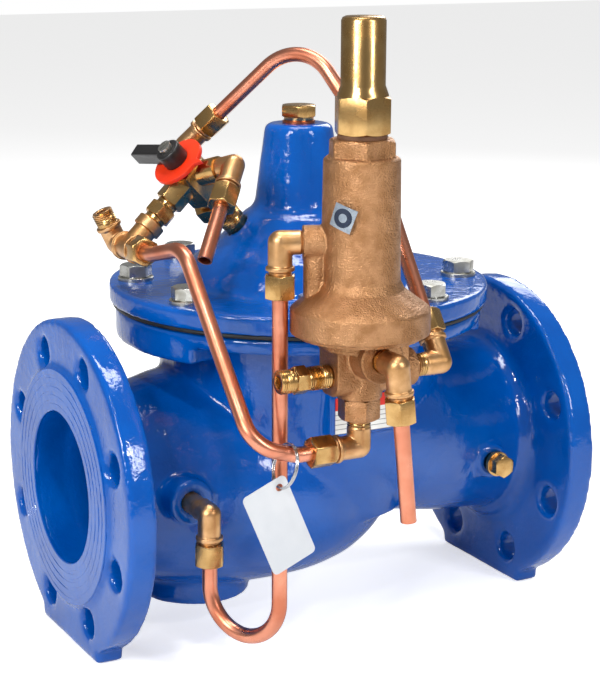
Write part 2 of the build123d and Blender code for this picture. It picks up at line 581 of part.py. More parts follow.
def main_diaphragm():
    edge, bead = COVER_D / 2 - 2, CHAMBER_R
    low, mid = JOINT_LOW, PLATE_MID
    t, inner = DIAPHRAGM_T, PLATE_D / 2
    drape = [(inner + 3, mid + 0.2), (inner + 9, mid + 3.0), (bead - 5, low - 2.6), (bead - 1, low)]
    over = [(x + 1.0, z + t) for x, z in drape]
    shape = lathe([(STEM_D / 2 + FIT, mid), (inner, mid)] + drape + [(edge, low), (edge, low + t), (bead, low + t)]
                  + over[2::-1] + [(inner, mid + t), (STEM_D / 2 + FIT, mid + t)], STEM)
    return shape - [rod(p + UP * (low - 1), UP, t + 2, COVER_BOLT_D / 2 + 0.5) for p in COVER_BOLT_SPOTS]


def seat_ring():
    low = SEAT_DECK_Z - SEAT_DECK_T - 6
    r = SEAT_BORE_D / 2
    shape = lathe([(r, low), (SEAT_SLEEVE_D / 2, low), (SEAT_SLEEVE_D / 2, SEAT_DECK_Z), (SEAT_RING_D / 2, SEAT_DECK_Z),
                   (SEAT_RING_D / 2, SEAT_DECK_Z + SEAT_FLANGE_T), (r + 8, SEAT_DECK_Z + SEAT_FLANGE_T),
                   (r + 4, SEAT_TOP), (r + 1, SEAT_TOP), (r, SEAT_TOP - 1.5)], STEM)
    for turn in (45, 135, 225, 315):
        arm = Rot(0, 0, turn) * Pos(r / 2 + 1, 0, 0) * Box(r + 2, 8, SPIDER_T)
        shape += Pos(STEM_X, 0, SPIDER_TOP - SPIDER_T / 2) * arm
    shape += rod(STEM + UP * (SPIDER_TOP - HUB_L), UP, HUB_L, HUB_D / 2)
    shape -= rod(STEM + UP * (SPIDER_TOP - HUB_L - 1), UP, HUB_L + 2, GUIDE_BUSH_D / 2 + FIT)
    return shape - ring(STEM + UP * (SEAT_DECK_Z - 5), UP, O_RING_D + 0.2, SEAT_SLEEVE_D / 2 + 1,
                        SEAT_SLEEVE_D / 2 - O_RING_D + 0.1)


def bush(low, length):
    return ring(STEM + UP * low, UP, length, GUIDE_BUSH_D / 2, STEM_D / 2 + RUN)


def valve_stem():
    low = SPIDER_TOP - HUB_L - STEM_BELOW_BUSH
    shape = rod(STEM + UP * low, UP, STEM_TOP - low, STEM_D / 2)
    shape += rod(STEM + UP * COLLAR_LOW, UP, STEM_COLLAR_T, STEM_COLLAR_D / 2)
    return chamfer(shape.edges().filter_by(GeomType.CIRCLE).group_by(Axis.Z)[-1], 1.5)


def valve_disc():
    shape = ring(STEM + UP * DISC_LOW, UP, DISC_T, DISC_D / 2, STEM_D / 2 + FIT)
    outer = DISC_D / 2 - 3
    shape -= ring(STEM + UP * (DISC_LOW - 1), UP, DISC_SEAL_T + 1, outer + FIT, outer - DISC_SEAL_BAND - FIT)
    return shape - ring(STEM + UP * (DISC_TOP - 5), UP, 6, DISC_D / 2 - 14, SLEEVE_D / 2 + 8)


def disc_seal():
    outer = DISC_D / 2 - 3
    return ring(STEM + UP * DISC_LOW, UP, DISC_SEAL_T, outer, outer - DISC_SEAL_BAND)


def plate(low, thick, diameter):
    return ring(STEM + UP * low, UP, thick, diameter / 2, STEM_D / 2 + FIT)


def stem_nuts():
    nuts = [hexagon(STEM + UP * (PLATE_TOP + i * STEM_NUT_T), UP, STEM_NUT_T, STEM_NUT_AF, 12 * i) for i in (0, 1)]
    return [n - rod(STEM, UP, 2 * STEM_TOP, STEM_D / 2 + FIT) for n in nuts]


def cover_bolt(spot):
    low = spot + UP * (JOINT_LOW - COVER_BOLT_GRIP)
    shape = rod(low, UP, COVER_TOP + WASHER_T - low.Z, COVER_BOLT_D / 2)
    return shape + hexagon(spot + UP * (COVER_TOP + WASHER_T), UP, COVER_BOLT_HEAD_T, COVER_BOLT_HEAD_AF, spot.X + spot.Y)


def top_plug():
    at = STEM + UP * (BONNET_NECK_TOP + GASKET_T)
    return (rod(STEM + UP * (BONNET_NECK_TOP - 14), UP, 14 + GASKET_T, PLUG_THREAD_D / 2)
            + rod(at, UP, TOP_PLUG_COLLAR_H, TOP_PLUG_COLLAR_D / 2)
            + hexagon(at + UP * TOP_PLUG_COLLAR_H, UP, TOP_PLUG_HEX_H, TOP_PLUG_AF))


def outlet_plug():
    face = Vector(FACE_TO_FACE - PLUG_BOSS_X, -PLUG_BOSS_FACE, PLUG_BOSS_Z)
    return (rod(face + NEAR * 3, NEAR * -1, OUTLET_PLUG_GRIP + 3, THREAD_D / 2)
            + rod(face + NEAR * 3, NEAR, 3, THREAD_D / 2 + 2)
            + hexagon(face + NEAR * 6, NEAR, 8, OUTLET_PLUG_AF))


def nameplate():
    return (Pos(STEM_X, -PLATE_FACE - 0.5 - 0.05, PLATE_PAD_Z) * Box(PLATE_W, 1.0, PLATE_TALL))


# ---------------------------------------------------------------- pilot
def pilot_body():
    disc = rod(PILOT + DOWN * PILOT_DISC_DOWN, UP, PILOT_DISC_DOWN + PILOT_DISC_UP, PILOT_DISC_D / 2)
    shape = disc + rod(PILOT + UP * PILOT_BARREL_BOTTOM, UP, -PILOT_BARREL_BOTTOM, PILOT_BARREL_D / 2)
    shape += rod(PILOT + DOWN * 9, UP, 9, PILOT_DISC_D / 2 - 12)
    side, front = PILOT + UP * PILOT_PORT_Z, PILOT + UP * PILOT_FRONT_PORT_Z
    shape += rod(side, ALONG, PILOT_RIGHT_FACE, PILOT_ARM_D / 2)
    for way, reach in ((-1, PILOT_LEFT_FACE), (1, PILOT_RIGHT_FACE - 8)):     # upright blocks round the side ports
        tall = -PILOT_PORT_Z + PILOT_ARM_D / 2
        block = Plane(origin=PILOT + DOWN * tall / 2, x_dir=(0, 1, 0), z_dir=(way, 0, 0))
        shape += extrude(block * RectangleRounded(PILOT_ARM_D, tall, BLOCK_ROUND), reach)
    shape += rod(front, NEAR, PILOT_FRONT_FACE, PILOT_FRONT_BOSS_D / 2)
    shape -= rod(PILOT + UP * (PILOT_DISC_UP - 4), UP, 5, PILOT_CHAMBER_D / 2)
    shape -= rod(PILOT + DOWN * 20, UP, 30, PILOT_STEM_D / 2 + RUN)
    shape -= rod(PILOT + UP * (PILOT_SEAT_Z + PILOT_SEAT_T), UP, 10, 6.5)
    shape -= rod(PILOT + UP * PILOT_SEAT_Z, UP, PILOT_SEAT_T, PILOT_SEAT_D / 2 + FIT)
    shape -= rod(PILOT + UP * (PILOT_BARREL_BOTTOM - 1), UP, PILOT_SEAT_Z - PILOT_BARREL_BOTTOM + 1,
                 BOTTOM_PLUG_THREAD_D / 2 + FIT)
    shape -= rod(side - ALONG * (PILOT_LEFT_FACE + 1), ALONG, PILOT_LEFT_FACE + PILOT_RIGHT_FACE + 2, PORT_BORE_D / 2)
    shape -= rod(front + NEAR * (PILOT_FRONT_FACE + 1), NEAR * -1, PILOT_FRONT_FACE - 12, PORT_BORE_D / 2)
    shape -= rod(front + NEAR * 15, UP, 20, PORT_BORE_D / 2 - 1)
    shape -= [right_elbow.tapping(), front_elbow.tapping()]
    return shape - rod(side - ALONG * (PILOT_LEFT_FACE + 1), ALONG, THREAD_GRIP + 2, THREAD_D / 2 + FIT)


def pilot_bonnet():
    r, foot, top = PILOT_SHELL_D / 2, PILOT_SHELL_FOOT, PILOT_SHELL_TOP
    rim = PILOT_RIM_D / 2
    shape = lathe([(0, 0), (rim, 0), (rim, PILOT_RIM_H - 1.5), (rim - 1.5, PILOT_RIM_H), (r + 9, PILOT_RIM_H + 6),
                   (r + 3.2, PILOT_RIM_H + 10.5), (r + 0.5, foot), (r - 0.4, top - 1.5), (r - 2, top), (0, top)], PILOT)
    shape += hexagon(PILOT + UP * (top - 0.5), UP, PILOT_COLLAR_H + 0.5, PILOT_COLLAR_AF, 8)
    shape += rod(PILOT + UP * PILOT_ROOF, UP, SPIGOT_H, SPIGOT_D / 2)
    port = PILOT + UP * PILOT_HIGH_PORT_Z
    shape += rod(port, high_way, PILOT_HIGH_PORT_FACE, 10)
    rib_foot = PILOT_RIM_H + 4
    shape += rod(PILOT + high_way * (PILOT_HIGH_PORT_FACE - RIB_D / 2 - GAP) + UP * rib_foot, UP,
                 PILOT_HIGH_PORT_Z - rib_foot + 7, RIB_D / 2)
    inner = r - PILOT_WALL
    shape -= lathe([(0, -1), (PILOT_DISC_D / 2 + FIT, -1), (PILOT_DISC_D / 2 + FIT, PILOT_DISC_UP + PILOT_DIAPHRAGM_T),
                    (PILOT_CHAMBER_D / 2, PILOT_DISC_UP + PILOT_DIAPHRAGM_T), (PILOT_CHAMBER_D / 2, PILOT_RIM_H - 2),
                    (inner, foot - 4), (inner, top - 8), (0, top - 8)], PILOT)
    shape -= rod(PILOT + UP * (top - 9), UP, 40, SCREW_D / 2 + FIT)
    shape -= rod(port, high_way, PILOT_HIGH_PORT_FACE + 1, PORT_BORE_D / 2)
    return shape - high_elbow.tapping()


def pilot_stem():
    top = PILOT_DISC_UP + PILOT_DIAPHRAGM_T + 3 + 4
    low = PILOT_SEAT_Z - PILOT_TRAVEL - 0.3 - POPPET_T
    shape = rod(PILOT + UP * low, UP, top - low, PILOT_STEM_D / 2)
    shape += rod(PILOT + UP * low, UP, POPPET_T, POPPET_D / 2)
    shape += rod(PILOT + UP * (PILOT_DISC_UP - 1.6), UP, 1.6, 9)
    return shape


def pilot_diaphragm():
    return ring(PILOT + UP * PILOT_DISC_UP, UP, PILOT_DIAPHRAGM_T, PILOT_DISC_D / 2, PILOT_STEM_D / 2 + FIT)


def pilot_diaphragm_plate():
    low = PILOT_DISC_UP + PILOT_DIAPHRAGM_T
    shape = rod(PILOT + UP * low, UP, 3, PILOT_SPRING_D / 2 + 4)
    shape += rod(PILOT + UP * (low + 3), UP, 2, PILOT_SPRING_D / 2 - PILOT_SPRING_WIRE - 1)
    return shape - rod(PILOT, UP, 60, PILOT_STEM_D / 2 + FIT)


def pilot_seat():
    return ring(PILOT + UP * PILOT_SEAT_Z, UP, PILOT_SEAT_T, PILOT_SEAT_D / 2, PILOT_SEAT_BORE / 2)


def pilot_bottom_plug():
    shape = rod(PILOT + UP * (PLUG_LOW + 1), UP, BOTTOM_PLUG_H - 1 + BOTTOM_PLUG_GRIP, BOTTOM_PLUG_THREAD_D / 2)
    shape += hexagon(PILOT + UP * PLUG_LOW, UP, BOTTOM_PLUG_H - FIT, BOTTOM_PLUG_AF, 20)
    shape -= rod(PILOT + UP * PLUG_LEDGE, UP, 20, POPPET_D / 2 + 1.2)
    shape -= rod(PILOT + UP * (PLUG_LOW - 1), UP, 20, PORT_BORE_D / 2)
    return shape - bottom_elbow.tapping()


def pilot_cap():
    r, base, top = CAP_D / 2, CAP_LOW, CAP_LOW + CAP_H - CAP_GASKET_T
    outer = hexagon(PILOT + UP * base, UP, CAP_HEX_H - 1, CAP_AF, 8)
    outer += lathe([(0, base + CAP_HEX_H - 2), (CAP_AF / 2, base + CAP_HEX_H - 2), (CAP_AF / 2 - 0.3, base + CAP_HEX_H),
                    (r, base + CAP_HEX_H + 5), (r, top - 2.5), (r - 0.8, top - 0.8), (r - 2.5, top), (0, top)], PILOT)
    inner = lathe([(0, base - 1), (SPIGOT_D / 2 + RUN, base - 1), (SPIGOT_D / 2 + RUN, base + SPIGOT_H + 8),
                   (r - CAP_WALL, base + SPIGOT_H + 12), (r - CAP_WALL, top - 4), (0, top - 4)], PILOT)
    return outer - inner


def cap_gasket():
    return ring(PILOT + UP * PILOT_ROOF, UP, CAP_GASKET_T, CAP_AF / 2 - 0.5, SPIGOT_D / 2 + 0.4)


def adjusting_screw():
    low = BUTTON_Z + BUTTON_T - 2
    shape = rod(PILOT + UP * low, UP, SCREW_TOP - low, SCREW_D / 2)
    shape -= hexagon(PILOT + UP * (SCREW_TOP - 6), UP, 7, 6, bevel=False)
    return shape


def spring_button():
    shape = rod(PILOT + UP * BUTTON_Z, UP, BUTTON_T, BUTTON_D / 2)
    shape += rod(PILOT + UP * (BUTTON_Z - 3), UP, 3.5, PILOT_SPRING_D / 2 - PILOT_SPRING_WIRE - 1)
    return shape - rod(PILOT + UP * (BUTTON_Z + BUTTON_T - 2 - GAP), UP, 5, SCREW_D / 2 + GAP)


def lock_nut():
    low = PILOT_ROOF + SPIGOT_H
    return hexagon(PILOT + UP * low, UP, LOCK_NUT_T, LOCK_NUT_AF, 5) - rod(PILOT, UP, 300, SCREW_D / 2 + FIT)


def pilot_nipple():
    face = PILOT - ALONG * PILOT_LEFT_FACE + UP * PILOT_PORT_Z
    shape = rod(face + ALONG * THREAD_GRIP, ALONG * -1, THREAD_GRIP + NIPPLE_L, THREAD_D / 2)
    shape += hexagon(face - ALONG * NIPPLE_HEX_AT, ALONG * -1, NIPPLE_HEX_L, NIPPLE_AF)
    return shape - rod(face + ALONG * 20, ALONG * -1, 60, PORT_BORE_D / 2)


# ---------------------------------------------------------------- three-way cock and tee
def cock_union():
    """Threaded spigot into the bonnet with the nut that holds the cock on it."""
    length = COCK_BOTTOM_T + UNION_GRIP
    shape = rod(COCK_ENTRY - COCK_UP * UNION_GRIP, COCK_UP, length, UNION_THREAD_D / 2)
    shape += hexagon(COCK_ENTRY + COCK_UP * UNION_T, COCK_UP, UNION_L, UNION_AF)
    shape += rod(COCK_ENTRY + COCK_UP * (UNION_T + UNION_L - 1), COCK_UP, COCK_BOTTOM_T - UNION_T - UNION_L + 1,
                 COCK_AF / 2 - 2)
    shape += rod(COCK_ENTRY + COCK_UP * (COCK_BOTTOM_T - 1), COCK_UP, SPIGOT_UP + 1, COCK_BORE_D / 2)
    return shape - rod(COCK_ENTRY - COCK_UP * 30, COCK_UP, 100, PORT_BORE_D / 2)


def cock_body():
    length = COCK_TOP_T - COCK_BOTTOM_T
    shape = hexagon(COCK_ENTRY + COCK_UP * COCK_BOTTOM_T, COCK_UP, length, COCK_AF)
    shape += rod(COCK_ENTRY + COCK_UP * (COCK_TOP_T - 1), COCK_UP, INDICATOR_T - COCK_TOP_T + 1, PLUG_STEM_D / 2 + 4)
    for angle in (0, 120, 240):
        way = around_cock(angle)
        if angle:
            shape += rod(COCK, way, COCK_BOSS_END, COCK_BOSS_AF / 2)
        else:
            shape += hexagon(COCK, way, COCK_BOSS_END, COCK_BOSS_AF, 30)
        shape -= rod(COCK, way, COCK_BOSS_END + 1, PORT_BORE_D / 2)
        shape -= rod(COCK + way * (COCK_BOSS_END + 1), way * -1, THREAD_GRIP + 2, THREAD_D / 2 + FIT)
    r = COCK_BORE_D / 2 + FIT
    shape -= rod(COCK_ENTRY + COCK_UP * (COCK_BOTTOM_T - 1), COCK_UP, COCK_PORT_T - COCK_BOTTOM_T + 1 + r, r)
    return shape - rod(COCK, COCK_UP, 40, PLUG_STEM_D / 2 + RUN)


def cock_ball():
    """Ball plug with an L-shaped way through it, on its own stem."""
    ball = COCK_BORE_D / 2 - 0.02
    shape = Pos(COCK) * Sphere(ball) + rod(COCK, COCK_UP, BALL_STEM_TOP - COCK_PORT_T, PLUG_STEM_D / 2)
    shape -= rod(COCK, COCK_UP * -1, 20, PORT_BORE_D / 2 - 0.5)
    return shape - rod(COCK, around_cock(240), 20, PORT_BORE_D / 2 - 0.5) - Pos(COCK) * Sphere(PORT_BORE_D / 2 - 0.5)


def position_plate():
    """Disc with two pointers that shows which way the cock is turned."""
    place = Plane(origin=COCK_ENTRY + COCK_UP * INDICATOR_T, x_dir=around_cock(LEVER_ANGLE), z_dir=COCK_UP)
    tip, half = INDICATOR_TAB, 4.5
    outline = Circle(INDICATOR_D / 2) + make_face(Polyline((tip, 0), (0, half * 2), (-tip, 0), (0, -half * 2), close=True))
    return extrude(place * outline, INDICATOR_THICK) - rod(COCK, COCK_UP, 60, PLUG_STEM_D / 2 + RUN + 0.2)


def cock_handle():
    low = INDICATOR_T + INDICATOR_THICK + GAP
    way = around_cock(LEVER_ANGLE)
    place = Plane(origin=COCK_ENTRY + COCK_UP * low, x_dir=way, z_dir=COCK_UP)
    shape = rod(COCK_ENTRY + COCK_UP * low, COCK_UP, HUB_KNOB_H, HUB_KNOB_D / 2)
    arm = place * Pos(LEVER_L / 2, 0, HUB_KNOB_H - LEVER_H / 2) * Box(LEVER_L, LEVER_W, LEVER_H)
    shape += arm
    shape = fillet(shape.edges().group_by(Axis(COCK_ENTRY, COCK_UP))[-1], 1.5)
    shape -= rod(COCK, COCK_UP, BALL_STEM_TOP - COCK_PORT_T + FIT, PLUG_STEM_D / 2 + FIT)
    return shape - rod(COCK, COCK_UP, 60, LEVER_SCREW_THREAD / 2 + 0.4)


def handle_screw():
    top = INDICATOR_T + INDICATOR_THICK + GAP + HUB_KNOB_H
    head = rod(COCK_ENTRY + COCK_UP * (top + FIT), COCK_UP, 3, LEVER_SCREW_D / 2)
    shank = rod(COCK_ENTRY + COCK_UP * (BALL_STEM_TOP + 0.3), COCK_UP, top - BALL_STEM_TOP, LEVER_SCREW_THREAD / 2)
    slot = Plane(origin=COCK_ENTRY + COCK_UP * (top + 3), z_dir=COCK_UP) * Box(LEVER_SCREW_D, 1.2, 2.4)
    return head + shank - slot


def tee():
    branch = around_cock(0) * -1
    shape = (rod(TEE, branch, TEE_BRANCH, TEE_D / 2) + rod(TEE + branch * (TEE_BRANCH - 7), branch, 7, TEE_COLLAR_D / 2)
             + rod(TEE - TEE_NEAR * TEE_HALF_RUN, TEE_NEAR, 2 * TEE_HALF_RUN, TEE_D / 2)
             + rod(TEE_MOUTH - TEE_NEAR * 3, TEE_NEAR, 3, TEE_COLLAR_D / 2)
             + rod(TEE - TEE_NEAR * TEE_HALF_RUN, TEE_NEAR, 3, TEE_COLLAR_D / 2)
             + rod(TEE, TEE_NEAR, TEE_HALF_RUN + NUT_L - 5, THREAD_D / 2))
    shape -= [rod(TEE, branch, 40, PORT_BORE_D / 2), rod(TEE - TEE_NEAR * 30, TEE_NEAR, 80, PORT_BORE_D / 2),
              rod(TEE_MOUTH + TEE_NEAR * 1.0, TEE_NEAR, NUT_L, TUBE_D / 2 + FIT)]
    shape -= rod(TEE + branch * (TEE_BRANCH + 1), branch * -1, THREAD_GRIP + 2, THREAD_D / 2 + FIT)
    return shape - rod(TEE - TEE_NEAR * (TEE_HALF_RUN + 1), TEE_NEAR, THREAD_GRIP + 2, THREAD_D / 2 + FIT)


def tee_nipple():
    start, end = COCK_BOSS_END - THREAD_GRIP, TEE_DISTANCE - TEE_BRANCH + THREAD_GRIP
    way = around_cock(0)
    shape = rod(COCK + way * start, way, end - start, THREAD_D / 2)
    middle = (COCK_BOSS_END + TEE_DISTANCE - TEE_BRANCH) / 2
    shape += hexagon(COCK + way * (middle - TEE_NIPPLE_HEX_L / 2), way, TEE_NIPPLE_HEX_L, TEE_NIPPLE_AF)
    return shape - rod(COCK, way, 80, PORT_BORE_D / 2)


def end_elbow():
    """Male elbow on the far end of the tee, left open for a tube that isn't fitted."""
    shape = (Pos(END_ELBOW) * Sphere(ELBOW_D / 2) + rod(END_ELBOW, TEE_NEAR, END_ELBOW_REACH - 1, ELBOW_D / 2)
             + rod(END_ELBOW, TEE_NEAR, END_ELBOW_REACH + THREAD_GRIP, THREAD_D / 2)
             + rod(END_ELBOW, END_LEG, END_NIPPLE_L - 10, ELBOW_D / 2)
             + rod(END_ELBOW + END_LEG * (END_NIPPLE_L - 12.5), END_LEG, 2.5, ELBOW_COLLAR_D / 2)
             + rod(END_ELBOW, END_LEG, END_NIPPLE_L, THREAD_D / 2))
    return shape - [rod(END_ELBOW, TEE_NEAR, 40, PORT_BORE_D / 2), rod(END_ELBOW, END_LEG, 60, PORT_BORE_D / 2),
                    Pos(END_ELBOW) * Sphere(PORT_BORE_D / 2)]


# ---------------------------------------------------------------- tubes
def inlet_tube():
    a, b = high_elbow.tube_start(), inlet_elbow.tube_start()
    return tube([a, Vector(a.X, a.Y, U_BOTTOM_Z), Vector(b.X, b.Y, U_BOTTOM_Z), b], U_RADIUS)


def sensing_route():
    start = TEE_MOUTH + TEE_NEAR * 1.5
    return [start, TEE_MOUTH + TEE_NEAR * SENSING_OUT, SENSING_TOP, SENSING_CORNER, SENSING_FOOT, bottom_elbow.tube_start()]


def sensing_tube():
    return tube(sensing_route(), BEND - 2)


def bonnet_tube():
    a, b = cock_back_elbow.tube_start(), right_elbow.tube_start()
    top = cock_back_elbow.centre + cock_back_elbow.to_tube * PEAK_UP
    fall = right_elbow.centre + right_elbow.to_tube * PEAK_DOWN
    return tube([a, top, fall, b], PEAK_BEND)


def stub(elbow, end):
    return tube([elbow.tube_start(), elbow.centre + elbow.to_tube * end], 0)


# ---------------------------------------------------------------- instruction tag
lower_run = SENSING_FOOT - SENSING_CORNER
TAG_WAY = lower_run.normalized()
TAG_SPOT = SENSING_CORNER + lower_run * (TAG_AT / lower_run.length)
RING_DOWN = (DOWN - TAG_WAY * DOWN.dot(TAG_WAY)).normalized()
RING_CENTRE = TAG_SPOT + RING_DOWN * (RING_R - RING_WIRE / 2 - TUBE_D / 2 - GAP)
TAG_HOLE = RING_CENTRE + RING_DOWN * RING_R


def tag_ring():
    place = Plane(origin=RING_CENTRE, z_dir=TAG_WAY)
    turns = [place * Pos(0, 0, side * RING_WIRE * 0.42) * Torus(RING_R, RING_WIRE / 2) for side in (-1, 1)]
    return turns[0] + turns[1]


def tag_card():
    place = Plane(origin=TAG_HOLE + Vector(0, TAG_T / 2, 0), x_dir=(1, 0, 0), z_dir=(0, -1, 0)) * Rot(0, 0, TAG_LEAN)
    card = Pos(TAG_HOLE_IN - TAG_W / 2, TAG_HOLE_IN - TAG_L / 2) * RectangleRounded(TAG_W, TAG_L, 3)
    return extrude(place * (card - Circle(TAG_HOLE_R)), TAG_T)


# ---------------------------------------------------------------- the pieces, one file each
def fittings(make):
    return [make(e) for e in ELBOWS.values()]


pieces = {
    "valve_body": valve_body(),
    "bonnet": bonnet(),
    "main_diaphragm": main_diaphragm(),
    "seat_ring": seat_ring(),
    "seat_o_ring": Pos(STEM_X, 0, SEAT_DECK_Z - 5 + O_RING_D / 2 + 0.1) * Torus(SEAT_SLEEVE_D / 2 - O_RING_D / 2 + 0.1, O_RING_D / 2 - 0.05),
    "lower_guide_bush": bush(SPIDER_TOP - HUB_L, HUB_L),
    "upper_guide_bush": bush(SPRING_CEILING, UPPER_BUSH_L),
    "valve_stem": valve_stem(),
    "valve_disc": valve_disc(),
    "disc_seal": disc_seal(),
    "disc_retainer": plate(DISC_LOW - RETAINER_T, RETAINER_T, RETAINER_D),
    "spacer_sleeve": plate(DISC_TOP, PLATE_LOW - DISC_TOP, SLEEVE_D),
    "diaphragm_plate_lower": plate(PLATE_LOW, PLATE_T, PLATE_D),
    "diaphragm_plate_upper": plate(PLATE_MID + DIAPHRAGM_T, PLATE_T, PLATE_D - 4),
    "stem_nuts": stem_nuts(),
    "main_spring": coil((MAIN_SPRING_D - MAIN_SPRING_WIRE) / 2, MAIN_SPRING_WIRE, PLATE_TOP, SPRING_CEILING, 3.5,
                        STEM),
    "cover_bolts": [cover_bolt(p) for p in COVER_BOLT_SPOTS],
    "cover_washers": [ring(p + UP * COVER_TOP, UP, WASHER_T, WASHER_D / 2, COVER_BOLT_D / 2 + 0.5)
                      for p in COVER_BOLT_SPOTS],
    "top_plug": top_plug(),
    "top_plug_gasket": ring(STEM + UP * BONNET_NECK_TOP, UP, GASKET_T, TOP_PLUG_COLLAR_D / 2 + 1,
                            PLUG_THREAD_D / 2 + 0.3),
    "outlet_plug": outlet_plug(),
    "nameplate": nameplate(),
    "pilot_body": pilot_body(),
    "pilot_bonnet": pilot_bonnet(),
    "pilot_cap": pilot_cap(),
    "pilot_cap_gasket": cap_gasket(),
    "adjusting_screw": adjusting_screw(),
    "lock_nut": lock_nut(),
    "spring_button": spring_button(),
    "pilot_spring": coil((PILOT_SPRING_D - PILOT_SPRING_WIRE) / 2, PILOT_SPRING_WIRE,
                         PILOT.Z + PILOT_DISC_UP + PILOT_DIAPHRAGM_T + 3, PILOT.Z + BUTTON_Z, 9, PILOT),
    "pilot_diaphragm": pilot_diaphragm(),
    "pilot_diaphragm_plate": pilot_diaphragm_plate(),
    "pilot_stem": pilot_stem(),
    "pilot_seat": pilot_seat(),
    "pilot_poppet_spring": coil(4.6, 0.8, PILOT.Z + PLUG_LEDGE,
                                PILOT.Z + PILOT_SEAT_Z - PILOT_TRAVEL - 0.3 - POPPET_T, 3, PILOT),
    "pilot_bottom_plug": pilot_bottom_plug(),
    "pilot_nipple": pilot_nipple(),
    "inlet_elbow": inlet_elbow.solid(),
    "pilot_upper_elbow": high_elbow.solid(),
    "pilot_bottom_elbow": bottom_elbow.solid(),
    "pilot_outlet_elbow": right_elbow.solid(),
    "pilot_front_elbow": front_elbow.solid(),
    "cock_elbows": [cock_back_elbow.solid(), cock_front_elbow.solid()],
    "tube_nuts": fittings(lambda e: e.nut()) + [tube_nut(TEE_MOUTH, TEE_NEAR)],
    "tube_ferrules": fittings(lambda e: e.ferrule()) + [ferrule(TEE_MOUTH, TEE_NEAR)],
    "inlet_tube": inlet_tube(),
    "sensing_tube": sensing_tube(),
    "bonnet_tube": bonnet_tube(),
    "stub_tubes": [stub(front_elbow, FRONT_STUB_END), stub(cock_front_elbow, STUB_END)],
    "cock_union": cock_union(),
    "cock_body": cock_body(),
    "cock_ball": cock_ball(),
    "position_plate": position_plate(),
    "cock_handle": cock_handle(),
    "handle_screw": handle_screw(),
    "tee": tee(),
    "tee_nipple": tee_nipple(),
    "end_elbow": end_elbow(),
    "tag_ring": tag_ring(),
    "tag_card": tag_card(),
}

os.makedirs("parts", exist_ok=True)
for name, shape in pieces.items():
    solids = shape if isinstance(shape, list) else shape.solids()
    whole = solids[0] if len(solids) == 1 else Compound(children=list(solids))
    export_step(whole, f"parts/{name}.step")
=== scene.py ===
from math import cos, pi, radians, sin

import bmesh
import bpy
from mathutils import Matrix, Vector


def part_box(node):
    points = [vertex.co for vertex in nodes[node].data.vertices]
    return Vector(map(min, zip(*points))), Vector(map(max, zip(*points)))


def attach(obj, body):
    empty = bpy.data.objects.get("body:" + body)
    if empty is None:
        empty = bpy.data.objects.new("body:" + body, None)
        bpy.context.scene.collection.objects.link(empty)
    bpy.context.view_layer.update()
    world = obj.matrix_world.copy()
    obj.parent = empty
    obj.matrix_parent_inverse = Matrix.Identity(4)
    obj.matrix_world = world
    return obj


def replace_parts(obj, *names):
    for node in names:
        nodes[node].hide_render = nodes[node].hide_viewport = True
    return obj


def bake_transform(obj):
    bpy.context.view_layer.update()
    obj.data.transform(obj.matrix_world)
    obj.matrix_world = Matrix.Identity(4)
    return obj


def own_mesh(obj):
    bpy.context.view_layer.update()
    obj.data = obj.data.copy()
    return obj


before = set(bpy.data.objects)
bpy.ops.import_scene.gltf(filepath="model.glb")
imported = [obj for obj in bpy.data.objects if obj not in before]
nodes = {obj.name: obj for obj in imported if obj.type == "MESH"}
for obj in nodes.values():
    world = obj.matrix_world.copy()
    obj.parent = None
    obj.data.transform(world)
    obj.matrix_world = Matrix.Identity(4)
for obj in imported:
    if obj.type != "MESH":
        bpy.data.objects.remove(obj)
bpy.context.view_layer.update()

# ------------------------------------------------------------------ camera, light and floor
# A long lens stands low in front of the inlet end. Two large soft lamps and a top lamp light
# the valve, and a pale floor throws light back up on its underside.
EYE = Vector((-0.39541, -1.07528, 0.36768))
YAW, PITCH, ROLL = radians(62.381), radians(-13.438), radians(0.175)
LENS_MM, SENSOR_MM = 96.82, 36.0
SHIFT = (0.0181, 0.0078)
FLOOR_Z = -0.107
FLOOR_SIZE = 14.0


def linked(name, data):
    """New object in the scene."""
    made = bpy.data.objects.new(name, data)
    bpy.context.scene.collection.objects.link(made)
    return made


looking = Vector((cos(YAW) * cos(PITCH), sin(YAW) * cos(PITCH), sin(PITCH)))
camera = linked("camera", bpy.data.cameras.new("camera"))
camera.data.lens, camera.data.sensor_width = LENS_MM, SENSOR_MM
camera.data.shift_x, camera.data.shift_y = SHIFT
camera.data.clip_start, camera.data.clip_end = 0.05, 40.0
camera.matrix_world = (Matrix.Translation(EYE) @ looking.to_track_quat("-Z", "Y").to_matrix().to_4x4()
                       @ Matrix.Rotation(ROLL, 4, "Z"))
bpy.context.scene.camera = camera


def soft_lamp(name, place, aim, width, height, watts):
    """A rectangular softbox turned towards a point."""
    data = bpy.data.lights.new(name, "AREA")
    data.shape, data.size, data.size_y, data.energy = "RECTANGLE", width, height, watts
    turn = (Vector(aim) - Vector(place)).to_track_quat("-Z", "Y").to_matrix().to_4x4()
    linked(name, data).matrix_world = Matrix.Translation(place) @ turn


def brighter_to_camera(tree, dim, bright, strength):
    """Gives a strength that is bright to the camera, and dim in what the metal reflects."""
    seen, level = tree.nodes.new("ShaderNodeLightPath"), tree.nodes.new("ShaderNodeMapRange")
    level.inputs["To Min"].default_value, level.inputs["To Max"].default_value = dim, bright
    tree.links.new(seen.outputs["Is Camera Ray"], level.inputs["Value"])
    tree.links.new(level.outputs["Result"], strength)


